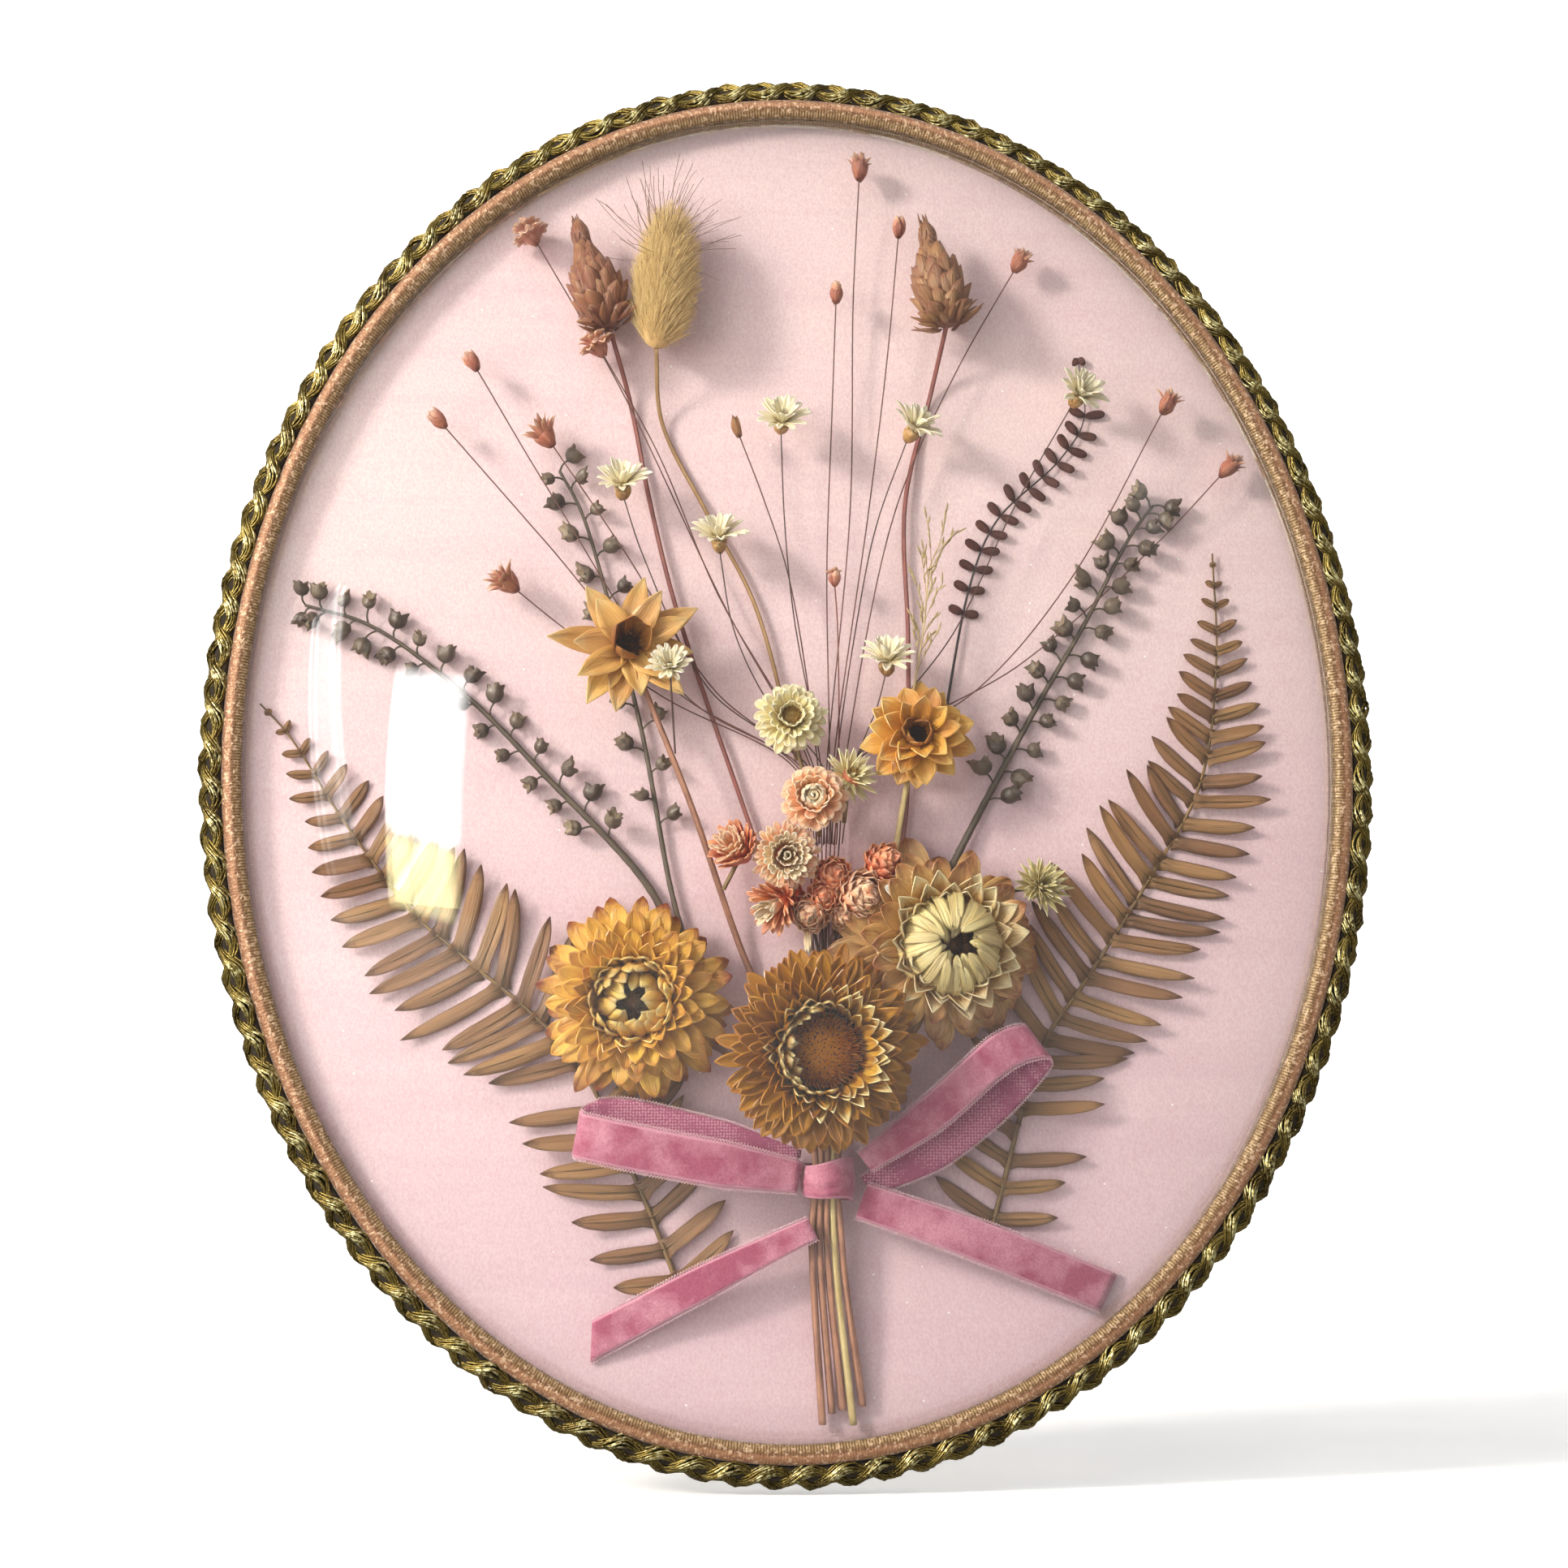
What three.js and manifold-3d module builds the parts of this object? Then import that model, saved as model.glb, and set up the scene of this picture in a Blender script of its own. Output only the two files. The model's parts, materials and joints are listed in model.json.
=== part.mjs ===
// Domed dried flower frame: an oval convex glass over a satin ground, with a dried posy tied by a
// velvet bow behind it, and a ribbon and a braid glued round the bound edge.
// Millimetres. +X is right, +Z is up and the front faces -Y. The origin is the middle of the back
// cover's back face, and a piece's "front" value is how far it stands before that face.
import * as THREE from "three";
import { mergeVertices } from "three/addons/utils/BufferGeometryUtils.js";
import Module from "manifold-3d";

const wasm = await Module();
wasm.setup();

// Oval and clearances
const boardHalfWidth = 102.6;
const boardHalfHeight = 124.6;
const gap = 0.3;
const overrun = 1;
const ovalSteps = 48;

// Sheets from the back to the front
const coverThickness = 0.5;
const boardThickness = 2.5;
const cardThickness = 1.5;
const satinThickness = 0.8;

// Convex glass
const glassThickness = 2.2;
const flangeWidth = 5.2;
const domeRise = 28;
const domePower = 2.2;
const domeFullness = 0.6;

// Edge binding, ribbon and braid
const bindingThickness = 0.4;
const bindingBackLip = 6;
const bindingFrontLip = 2.8;
const bandWidth = 2.9;
const bandHeight = 1.4;
const braidThickness = 2.4;
const braidDrop = 7.2;
const braidLobes = 110;
const braidScallop = 0.5;

// Split pin and hanging ring
const hangerDrop = 34;
const pinStrip = 0.5;
const pinWidth = 1.2;
const pinProng = 6;
const eyeHoleRadius = 0.95;
const eyeSetback = 1.5;
const ringRadius = 7;
const ringWire = 0.6;

// Posy: stems and layers, as heights above the satin
const wireThickness = 0.4;
const firstLayer = 2.6;
const stalkThickness = 0.8;
const stalkHeight = 1.1;
const stemThickness = 0.9;
const stemHeight = 1.45;
const tiedHeight = 4.6;
const tiedPitch = 1.3;
const layerPitch = wireThickness + gap;

// Velvet bow
const ribbonWidth = 8.6;
const ribbonThickness = 0.6;
const knotHalfWidth = 4.5;
const knotBack = 0.6;
const knotDepth = 10;

// Ferns
const leafThickness = 0.4;
const leafHeight = 0.4;

// Sheets, worked out
const boardBack = coverThickness + gap;
const boardFront = boardBack + boardThickness;
const cardBack = boardFront + gap;
const cardFront = cardBack + cardThickness;
const satinBack = cardFront + gap;
const satinFront = satinBack + satinThickness;
const glassBack = satinFront + gap;
const flangeFront = glassBack + glassThickness;
const domeHalfWidth = boardHalfWidth - flangeWidth;
const domeHalfHeight = boardHalfHeight - flangeWidth;
const bindingBack = boardBack - gap - bindingThickness;
const bindingFront = flangeFront + gap + bindingThickness;
const bindingSide = gap + bindingThickness;
const hangerUp = boardHalfHeight - hangerDrop;

const finishes = {
  paper: { color: 0x8a7358, roughness: 0.9, metalness: 0 },
  greyboard: { color: 0xa39a8c, roughness: 0.95, metalness: 0 },
  card: { color: 0xe8e1d2, roughness: 0.9, metalness: 0 },
  satin: { color: 0xe6cdd1, roughness: 0.45, metalness: 0 },
  glass: { color: 0xf4f7f6, roughness: 0.05, metalness: 0, transparent: true, opacity: 0.2 },
  tape: { color: 0x6e5a3e, roughness: 0.85, metalness: 0 },
  goldRibbon: { color: 0xc0935a, roughness: 0.5, metalness: 0 },
  goldBraid: { color: 0x5c5128, roughness: 0.5, metalness: 0.4 },
  brass: { color: 0xb59452, roughness: 0.35, metalness: 1 },
  velvet: { color: 0xc2718a, roughness: 0.9, metalness: 0 },
  amberPetal: { color: 0xd89a42, roughness: 0.5, metalness: 0 },
  ochrePetal: { color: 0xbb7a22, roughness: 0.5, metalness: 0 },
  creamPetal: { color: 0xe2cf98, roughness: 0.6, metalness: 0 },
  peachPetal: { color: 0xe0a878, roughness: 0.6, metalness: 0 },
  redPetal: { color: 0xc86a4c, roughness: 0.6, metalness: 0 },
  silverBract: { color: 0xb8a07c, roughness: 0.6, metalness: 0 },
  grassHead: { color: 0xc8a662, roughness: 0.95, metalness: 0 },
  seedPod: { color: 0x5f5346, roughness: 0.85, metalness: 0 },
  brownFern: { color: 0x84653f, roughness: 0.8, metalness: 0 },
  darkFern: { color: 0x4d2e2b, roughness: 0.8, metalness: 0 },
};

const part = new THREE.Group();

function solidOf(geometry) {
  const loose = geometry.index ? geometry.toNonIndexed() : geometry;
  const bare = new THREE.BufferGeometry();
  bare.setAttribute("position", loose.getAttribute("position"));
  const merged = mergeVertices(bare);
  const corners = merged.index.array;
  const kept = [];
  for (let i = 0; i < corners.length; i += 3) {
    const [a, b, c] = corners.subarray(i, i + 3);
    if (a !== b && b !== c && c !== a) kept.push(a, b, c);
  }
  const mesh = new wasm.Mesh({
    numProp: 3,
    vertProperties: merged.attributes.position.array,
    triVerts: new Uint32Array(kept),
  });
  return new wasm.Manifold(mesh);
}

function geometryOf(solid) {
  const mesh = solid.getMesh();
  const geometry = new THREE.BufferGeometry();
  geometry.setAttribute("position", new THREE.BufferAttribute(mesh.vertProperties, 3));
  geometry.setIndex(new THREE.BufferAttribute(mesh.triVerts, 1));
  const loose = geometry.toNonIndexed();
  loose.computeVertexNormals();
  return loose;
}

function fuse(...pieces) {
  return geometryOf(pieces.map(solidOf).reduce((whole, piece) => whole.add(piece)));
}

function cut(piece, ...cutters) {
  return geometryOf(cutters.map(solidOf).reduce((rest, cutter) => rest.subtract(cutter), solidOf(piece)));
}

function add(name, geometry, finish) {
  const mesh = new THREE.Mesh(geometry, new THREE.MeshStandardMaterial(finishes[finish]));
  mesh.name = name;
  part.add(mesh);
}

// A closed skin over rings of points that turn anticlockwise about the way they are listed. A ring
// of one point is a pole, and joined carries the last ring back to the first.
function skin(rings, joined = false) {
  const corners = [];
  const face = (...points) => points.forEach((p) => corners.push(p.x, p.y, p.z));
  const spans = joined ? rings.length : rings.length - 1;
  for (let i = 0; i < spans; i++) {
    const here = rings[i];
    const next = rings[(i + 1) % rings.length];
    const count = Math.max(here.length, next.length);
    for (let j = 0; j < count; j++) {
      const k = (j + 1) % count;
      if (here.length === 1) face(here[0], next[k], next[j]);
      else if (next.length === 1) face(here[j], here[k], next[0]);
      else face(here[j], here[k], next[k], here[j], next[k], next[j]);
    }
  }
  const cap = (ring, turned) => {
    for (let j = 1; j < ring.length - 1; j++) {
      if (turned) face(ring[0], ring[j + 1], ring[j]);
      else face(ring[0], ring[j], ring[j + 1]);
    }
  };
  if (!joined) {
    cap(rings[0], true);
    cap(rings[rings.length - 1], false);
  }
  const geometry = new THREE.BufferGeometry();
  geometry.setAttribute("position", new THREE.Float32BufferAttribute(corners, 3));
  return geometry;
}

// Oval plates and the glass are skins over ovals, listed from the back to the front.
function oval(halfWidth, halfHeight, front) {
  if (halfWidth === 0) return [new THREE.Vector3(0, -front, 0)];
  return Array.from({ length: ovalSteps }, (_, i) => {
    const turn = (i / ovalSteps) * 2 * Math.PI;
    return new THREE.Vector3(halfWidth * Math.cos(turn), -front, halfHeight * Math.sin(turn));
  });
}

// The cover's inner oval keeps its middle free of the long facets that meet the pin's slot.
const coverMiddleShare = 0.45;

function plate(inset, back, front, middleShare = 0) {
  const halfWidth = boardHalfWidth - inset;
  const halfHeight = boardHalfHeight - inset;
  const rings = [oval(0, 0, back), oval(halfWidth, halfHeight, back)];
  rings.push(oval(halfWidth, halfHeight, front), oval(0, 0, front));
  if (middleShare) rings.splice(1, 0, oval(halfWidth * middleShare, halfHeight * middleShare, back));
  return skin(rings);
}

function domeShare(share) {
  return (1 - share ** domePower) ** domeFullness;
}

function glassDome() {
  const wallShares = [1, 0.975, 0.88, 0.68, 0.38];
  const inner = wallShares.map((share) => {
    const front = glassBack + domeRise * domeShare(share);
    return oval(domeHalfWidth * share, domeHalfHeight * share, front);
  });
  const outer = wallShares.slice(1).map((share) => {
    const front = flangeFront + domeRise * domeShare(share);
    const width = (domeHalfWidth + glassThickness / 2) * share;
    return oval(width, (domeHalfHeight + glassThickness / 2) * share, front);
  });
  const rims = [
    oval(domeHalfWidth + glassThickness / 2, domeHalfHeight + glassThickness / 2, flangeFront),
    oval(boardHalfWidth, boardHalfHeight, flangeFront),
    oval(boardHalfWidth, boardHalfHeight, glassBack),
  ];
  const crown = [oval(0, 0, glassBack + domeRise), oval(0, 0, flangeFront + domeRise)];
  const wayIn = inner.slice().reverse();
  return skin([crown[0], ...wayIn, rims[2], rims[1], rims[0], ...outer, crown[1]]);
}

// A ring glued round the boards' edge: its section is a list of outward and front distances.
const edge = new THREE.EllipseCurve(0, 0, boardHalfWidth, boardHalfHeight);
edge.arcLengthDivisions = 800;

function edgeRing(sectionAt, steps) {
  const rings = Array.from({ length: steps }, (_, i) => {
    const share = i / steps;
    const point = edge.getPointAt(share);
    const tangent = edge.getTangentAt(share);
    return sectionAt(share).map(([outward, front]) => {
      const x = point.x + outward * tangent.y;
      const z = point.y - outward * tangent.x;
      return new THREE.Vector3(x, -front, z);
    });
  });
  return skin(rings, true);
}

function bindingSection() {
  return [
    [-bindingBackLip, bindingBack],
    [-bindingBackLip, bindingBack + bindingThickness],
    [gap, bindingBack + bindingThickness],
    [gap, bindingFront - bindingThickness],
    [-bindingFrontLip, bindingFront - bindingThickness],
    [-bindingFrontLip, bindingFront],
    [bindingSide, bindingFront],
    [bindingSide, bindingBack],
  ];
}

function bandSection() {
  const outer = -bindingSide;
  const inner = outer - bandWidth;
  const base = bindingFront + gap;
  return [
    [outer, base],
    [inner, base],
    [inner + bandWidth * 0.08, base + bandHeight * 0.6],
    [inner + bandWidth * 0.42, base + bandHeight],
    [outer - bandWidth * 0.18, base + bandHeight * 0.8],
  ];
}

// The braid is draped over the corner of the bound edge, and its lobes swell once each pitch.
function braidSection(share) {
  const swell = braidScallop * Math.cos(share * braidLobes * 2 * Math.PI);
  const side = bindingSide + gap;
  const front = bindingFront + gap;
  const full = braidThickness + swell;
  return [
    [side, front - braidDrop],
    [side, front],
    [-bindingSide + gap, front],
    [side + full * 0.45, front + full * 0.5],
    [side + full, front - braidDrop * 0.5],
  ];
}

// Split pin: an eye behind the back, a shank through the board and two prongs spread before it.
function splitPin() {
  const eyeRadius = eyeHoleRadius + pinStrip;
  const neck = Math.asin(pinStrip / eyeRadius);
  const outline = new THREE.Shape();
  outline.absarc(eyeSetback, 0, eyeRadius, Math.PI + neck, Math.PI - neck, false);
  outline.lineTo(pinStrip - boardFront, pinStrip);
  outline.lineTo(pinStrip - boardFront, pinProng);
  outline.lineTo(-boardFront, pinProng);
  outline.lineTo(-boardFront, -pinProng);
  outline.lineTo(pinStrip - boardFront, -pinProng);
  outline.lineTo(pinStrip - boardFront, -pinStrip);
  const hole = new THREE.Path();
  hole.absarc(eyeSetback, 0, eyeHoleRadius, 0, 2 * Math.PI, true);
  outline.holes.push(hole);
  const settings = { depth: pinWidth, bevelEnabled: false, curveSegments: 10 };
  const pin = new THREE.ExtrudeGeometry(outline, settings);
  const basis = new THREE.Matrix4().makeBasis(
    new THREE.Vector3(0, 1, 0),
    new THREE.Vector3(0, 0, 1),
    new THREE.Vector3(1, 0, 0),
  );
  pin.applyMatrix4(basis);
  return pin.translate(-pinWidth / 2, 0, hangerUp);
}

function box(width, back, front, low, high) {
  const block = new THREE.BoxGeometry(width, front - back, high - low);
  return block.translate(0, -(back + front) / 2, (low + high) / 2);
}

function pinSlot(back, front) {
  const half = pinStrip + gap;
  return box(pinWidth + 2 * gap, back, front, hangerUp - half, hangerUp + half);
}

function prongRecess() {
  const floor = boardFront - pinStrip - gap;
  const reach = pinProng + gap;
  return box(pinWidth + 2 * gap, floor, boardFront + overrun, hangerUp - reach, hangerUp + reach);
}

function hangingRing() {
  const ring = new THREE.TorusGeometry(ringRadius, ringWire, 6, 24);
  ring.rotateX(Math.PI / 2);
  return ring.translate(0, eyeSetback, hangerUp - ringRadius);
}

add(
  "back_cover",
  cut(
    plate(bindingBackLip + gap, 0, coverThickness, coverMiddleShare),
    pinSlot(-overrun, boardBack),
  ),
  "paper",
);
add(
  "backing_board",
  cut(
    plate(0, boardBack, boardFront),
    pinSlot(0, boardFront),
    prongRecess(),
  ),
  "greyboard",
);
add("mount_card", fuse(plate(0, cardBack, cardFront)), "card");
add("satin_ground", fuse(plate(0, satinBack, satinFront)), "satin");
add("dome_glass", fuse(glassDome()), "glass");
add("edge_binding", fuse(edgeRing(bindingSection, ovalSteps)), "tape");
add("gold_ribbon", fuse(edgeRing(bandSection, ovalSteps)), "goldRibbon");
add("gold_braid", fuse(edgeRing(braidSection, 2 * braidLobes)), "goldBraid");
add("split_pin", fuse(splitPin()), "brass");
add("hanging_ring", fuse(hangingRing()), "brass");

// Places in the posy are shares of the dome's half width and half height, with a height in
// millimetres above the satin.
function at([across, up], height) {
  return new THREE.Vector3(across * domeHalfWidth, -(satinFront + height), up * domeHalfHeight);
}

function tube(points, thickness, steps, sides) {
  const section = new THREE.Shape();
  for (let i = 0; i < sides; i++) {
    const turn = (i / sides) * 2 * Math.PI;
    const x = (thickness / 2) * Math.cos(turn);
    const y = (thickness / 2) * Math.sin(turn);
    if (i === 0) section.moveTo(x, y);
    else section.lineTo(x, y);
  }
  const path = new THREE.CatmullRomCurve3(points);
  return new THREE.ExtrudeGeometry(section, { steps, extrudePath: path });
}

// Heads are made with their axis along +Z and their base at the origin, then turned and placed.
function facing(geometry, place, axis) {
  const up = new THREE.Vector3(0, 0, 1);
  const turn = new THREE.Quaternion().setFromUnitVectors(up, axis.clone().normalize());
  return geometry.applyQuaternion(turn).translate(place.x, place.y, place.z);
}

function towards(right, up) {
  return new THREE.Vector3(right, -1, up);
}

// A turned head from shares of its radius and its length.
function turned(profileShares, radius, length, sides) {
  const profile = profileShares.map(([out, along]) => new THREE.Vector2(out * radius, along * length));
  return new THREE.LatheGeometry(profile, sides).rotateX(Math.PI / 2);
}

// A flower head as one skin, from its underside over its rows of petals to its middle. Each row is
// the tips' reach and lift, then the notches', as shares of the radius. A turned row's tips stand in
// the notches of the row before it.
function petals(count, radius, form) {
  const rings = form.rows.map(([tip, tipLift, notch, notchLift, turned]) =>
    Array.from({ length: 2 * count }, (_, i) => {
      const angle = (i / count) * Math.PI;
      const atNotch = i % 2 !== (turned ? 1 : 0);
      const reach = (atNotch ? notch : tip) * radius;
      const rise = (atNotch ? notchLift : tipLift) * radius;
      return new THREE.Vector3(reach * Math.cos(angle), reach * Math.sin(angle), rise);
    }),
  );
  const pole = (lift) => [new THREE.Vector3(0, 0, lift * radius)];
  return skin([pole(form.base), ...rings, pole(form.top)]);
}

const daisyForm = { base: -0.1, rows: [[1, 0.3, 0.45, 0.14]], top: 0.14 };
const starForm = { base: -0.1, rows: [[1, 0.5, 0.5, 0.3]], top: 0.3 };
const everlastingForm = {
  base: -0.02,
  rows: [[0.6, 0, 0.55, 0], [1, 0.5, 0.8, 0.38], [0.64, 0.26, 0.6, 0.26], [0.4, 0.55, 0.36, 0.58]],
  top: 0.6,
};
const strawflowerForm = {
  base: -0.02,
  rows: [
    [0.6, -0.04, 0.55, -0.04],
    [1, 0.3, 0.82, 0.2],
    [0.74, 0.17, 0.7, 0.17],
    [0.84, 0.58, 0.66, 0.42, true],
    [0.58, 0.36, 0.54, 0.36],
    [0.46, 0.54, 0.38, 0.6, true],
    [0.16, 0.5, 0.14, 0.5],
  ],
  top: 0.4,
};

const budShares = [[0, 0], [0.55, 0.15], [1, 0.5], [0.7, 0.85], [0, 1]];
const tailShares = [[0, 0], [0.6, 0.06], [0.95, 0.25], [1, 0.45], [0.85, 0.7], [0.5, 0.9], [0, 1]];
const scalyShares = [[0, 0], [0.45, 0.08], [0.9, 0.35], [1, 0.5], [0.8, 0.72], [0.55, 0.86], [0, 1]];

// A stem or wire runs from its head through its route, down in its own layer.
function route(routeShares, headHeight, runHeight) {
  return routeShares.map((share, i) => at(share, i === 0 ? headHeight : runHeight));
}

function onStem(head, points, thickness, sides = 4, steps = points.length + 1) {
  return fuse(head, tube(points, thickness, steps, sides));
}

// The wires run together at their feet, side by side in each layer, each layer a little to the
// right. Spread and shift are multiples of the pitch between layers.
const feetShare = 0.055;
const feet = [{ up: -0.02, spread: 3.6, shift: 0.7 }, { up: -0.13, spread: 1.86, shift: 0.64 }];

function wireRoute({ routeShares, layer: number, column }, headHeight) {
  const height = firstLayer + number * layerPitch;
  const ends = feet.map(({ up, spread, shift }) => {
    const across = (column - 1.5) * spread + (number - 2) * shift;
    return at([feetShare, up], height).add(new THREE.Vector3(across * layerPitch, 0, 0));
  });
  return [...route(routeShares, headHeight, height), ...ends];
}

// Wire-stemmed buds. Each row gives the head, then the run of its wire, in its own layer of wires.
const budRadius = 2.2;
const budLength = 5.4;
const budHeight = 5.6;
const lowBudHeight = 4.2;
const wireBuds = [
  {
    name: "wire_bud_1", layer: 0, column: 1, low: true,
    routeShares: [[-0.495, 0.8], [-0.33, 0.57], [-0.13, 0.23]],
  },
  {
    name: "wire_bud_2", layer: 1, column: 1,
    routeShares: [[-0.37, 0.625], [-0.26, 0.47], [-0.145, 0.25]],
  },
  {
    name: "wire_bud_3", layer: 2, column: 0,
    routeShares: [[-0.6, 0.593], [-0.45, 0.392], [-0.2, 0.09]],
  },
  {
    name: "wire_bud_4", layer: 1, column: 0,
    routeShares: [[-0.659, 0.502], [-0.462, 0.324], [-0.22, 0.1]],
  },
  {
    name: "wire_bud_5", layer: 3, column: 0, star: true,
    routeShares: [[-0.462, 0.481], [-0.322, 0.315], [-0.15, 0.1]],
  },
  {
    name: "wire_bud_6", layer: 0, column: 0, star: true,
    routeShares: [[-0.528, 0.255], [-0.42, 0.19], [-0.24, 0.09]],
  },
  {
    name: "wire_bud_7", layer: 2, column: 1,
    routeShares: [[-0.112, 0.501], [-0.055, 0.384], [-0.011, 0.268]],
  },
  {
    name: "wire_bud_8", layer: 1, column: 2,
    routeShares: [[0.073, 0.713], [0.067, 0.526], [0.058, 0.291]],
  },
  {
    name: "wire_bud_9", layer: 0, column: 2, low: true,
    routeShares: [[0.118, 0.915], [0.108, 0.713], [0.102, 0.382]],
  },
  {
    name: "wire_bud_10", layer: 2, column: 2, low: true,
    routeShares: [[0.193, 0.824], [0.171, 0.623], [0.137, 0.391]],
  },
  {
    name: "wire_bud_11", layer: 1, column: 3, low: true,
    routeShares: [[0.418, 0.774], [0.3, 0.601], [0.184, 0.378]],
  },
  { name: "wire_bud_12", layer: 4, column: 2, small: true, routeShares: [[0.07, 0.27], [0.076, 0.2]] },
  {
    name: "wire_bud_13", layer: 2, column: 3,
    routeShares: [[0.694, 0.551], [0.511, 0.277], [0.334, 0.106]],
  },
  {
    name: "wire_bud_14", layer: 0, column: 3, low: true,
    routeShares: [[0.81, 0.456], [0.675, 0.337], [0.42, 0.15]],
  },
];

for (const bud of wireBuds) {
  const points = wireRoute(bud, bud.low ? lowBudHeight : budHeight);
  const axis = points[0].clone().sub(points[1]).normalize();
  const size = bud.small ? 0.6 : 1;
  const place = points[0].clone().addScaledVector(axis, -budLength * size * 0.4);
  const closed = turned(budShares, budRadius * size, budLength * size, 5);
  const head = bud.star ? petals(6, budRadius * 1.3, starForm) : closed;
  add(bud.name, onStem(facing(head, place, axis), points, wireThickness, 3), "redPetal");
}

// Star daisies: narrow petals round a small eye, each looking its own way.
const daisyRadius = 4.2;
const daisyHeight = 7;
const daisies = [
  {
    name: "star_daisy_1", layer: 4, column: 0, look: [-0.2, 0.2],
    routeShares: [[-0.324, 0.408], [-0.282, 0.299], [-0.16, 0.1]],
  },
  {
    name: "star_daisy_2", layer: 3, column: 1, look: [0, 0.3],
    routeShares: [[-0.029, 0.507], [-0.022, 0.36], [-0.004, 0.213]],
  },
  {
    name: "star_daisy_3", layer: 3, column: 2, look: [0.3, 0.9],
    routeShares: [[0.217, 0.504], [0.149, 0.357], [0.111, 0.2]],
  },
  {
    name: "star_daisy_4", layer: 4, column: 1, look: [0, 0.2],
    routeShares: [[-0.145, 0.329], [-0.115, 0.19], [-0.05, 0.08]],
  },
  {
    name: "star_daisy_5", layer: 4, column: 3, look: [0, 0.5],
    routeShares: [[0.166, 0.15], [0.15, 0.08]],
  },
  {
    name: "star_daisy_6", layer: 3, column: 3, look: [0.3, 0.4],
    routeShares: [[0.52, 0.56], [0.411, 0.395], [0.29, 0.19]],
  },
];

for (const daisy of daisies) {
  const points = wireRoute(daisy, daisyHeight);
  const head = facing(petals(8, daisyRadius, daisyForm), points[0], towards(...daisy.look));
  add(daisy.name, onStem(head, points, wireThickness, 3), "creamPetal");
}

// Heads on stalks: two scaly buds and a bunny tail grass lie along their own stalks.
const scalyRadius = 4.9;
const scalyLength = 20;
const tailRadius = 6.2;
const tailLength = 26;
const stalkHeads = [
  {
    name: "scaly_bud_left", finish: "silverBract", radius: scalyRadius, length: scalyLength,
    form: scalyShares, baseLift: 1.35, tipLift: 1.22, tipShare: [-0.414, 0.815],
    routeShares: [[-0.349, 0.652], [-0.309, 0.548], [-0.27, 0.391], [-0.219, 0.227], [-0.083, -0.096]],
  },
  {
    name: "scaly_bud_right", finish: "silverBract", radius: scalyRadius, length: scalyLength,
    form: scalyShares, baseLift: 1.63, tipLift: 1.31, tipShare: [0.235, 0.84],
    routeShares: [[0.282, 0.665], [0.258, 0.577], [0.208, 0.402], [0.213, 0.177], [0.205, -0.1]],
  },
  {
    name: "bunny_tail", finish: "grassHead", radius: tailRadius, length: tailLength, form: tailShares,
    baseLift: 1.23, tipLift: 1.06, tipShare: [-0.24, 0.83],
    routeShares: [[-0.264, 0.615], [-0.25, 0.52], [-0.165, 0.38], [-0.075, 0.24], [0.005, 0]],
  },
];

for (const head of stalkHeads) {
  const points = route(head.routeShares, head.baseLift * head.radius, stalkHeight);
  const axis = at(head.tipShare, head.tipLift * head.radius).sub(points[0]);
  const shape = facing(turned(head.form, head.radius, head.length, 9), points[0], axis);
  points[0].addScaledVector(axis.normalize(), stalkThickness);
  add(head.name, onStem(shape, points, stalkThickness), head.finish);
}

// Seed sprays: a stalk with a cup-shaped pod on a short foot at each step, turn about.
const podRadius = 1.2;
const podLength = 4.4;
const sprayHeight = 1.3;
const sprays = [
  {
    name: "seed_spray_left", pods: 12,
    routeShares: [[-0.9, 0.225], [-0.782, 0.196], [-0.603, 0.09], [-0.457, -0.029], [-0.27, -0.19]],
  },
  {
    name: "seed_spray_middle", pods: 9,
    routeShares: [[-0.44, 0.44], [-0.4, 0.38], [-0.35, 0.25], [-0.282, 0.04], [-0.225, -0.2]],
  },
  {
    name: "seed_spray_right", pods: 15,
    routeShares: [[0.678, 0.404], [0.636, 0.358], [0.545, 0.217], [0.45, 0.083], [0.31, -0.13]],
  },
];

function podsAlong(points, pods) {
  const path = new THREE.CatmullRomCurve3(points);
  return Array.from({ length: pods }, (_, i) => {
    const share = (i + 0.3) / (pods + 1);
    const tangent = path.getTangentAt(share);
    const side = new THREE.Vector3(tangent.z, 0, -tangent.x).multiplyScalar(i % 2 ? 1 : -1);
    const axis = side.addScaledVector(tangent, -0.5).normalize();
    const pod = new THREE.ConeGeometry(podRadius, podLength, 3).rotateX(-Math.PI / 2);
    pod.translate(0, 0, podLength / 2);
    return facing(pod, path.getPointAt(share), axis);
  });
}

for (const spray of sprays) {
  const points = route(spray.routeShares, sprayHeight, sprayHeight);
  const stalk = tube(points, stalkThickness, 3 * (points.length - 1), 4);
  add(spray.name, fuse(stalk, ...podsAlong(points, spray.pods)), "seedPod");
}

// Ferns: one flat leaf, its leaflets set along a curved rib and longest a third of the way up.
const fernRib = 0.5;
const leafletReach = 17;
const ferns = [
  {
    name: "fern_left", finish: "brownFern", leaflets: 17, reach: 1,
    ribShares: [
      [-0.2, -0.79], [-0.299, -0.601], [-0.406, -0.441], [-0.608, -0.296], [-0.689, -0.24],
      [-0.824, -0.097], [-0.921, 0.025], [-0.975, 0.075],
    ],
  },
  {
    name: "fern_right", finish: "brownFern", leaflets: 18, reach: 0.94,
    ribShares: [
      [0.36, -0.7], [0.46, -0.424], [0.533, -0.336], [0.657, -0.178], [0.759, -0.028], [0.794, 0.162],
      [0.79, 0.331],
    ],
  },
  {
    name: "fern_dark", finish: "darkFern", leaflets: 11, reach: 0.2,
    ribShares: [
      [0.27, 0.02], [0.332, 0.282], [0.382, 0.378], [0.502, 0.475], [0.549, 0.54], [0.538, 0.638],
    ],
    bare: 0.35,
  },
];

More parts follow.
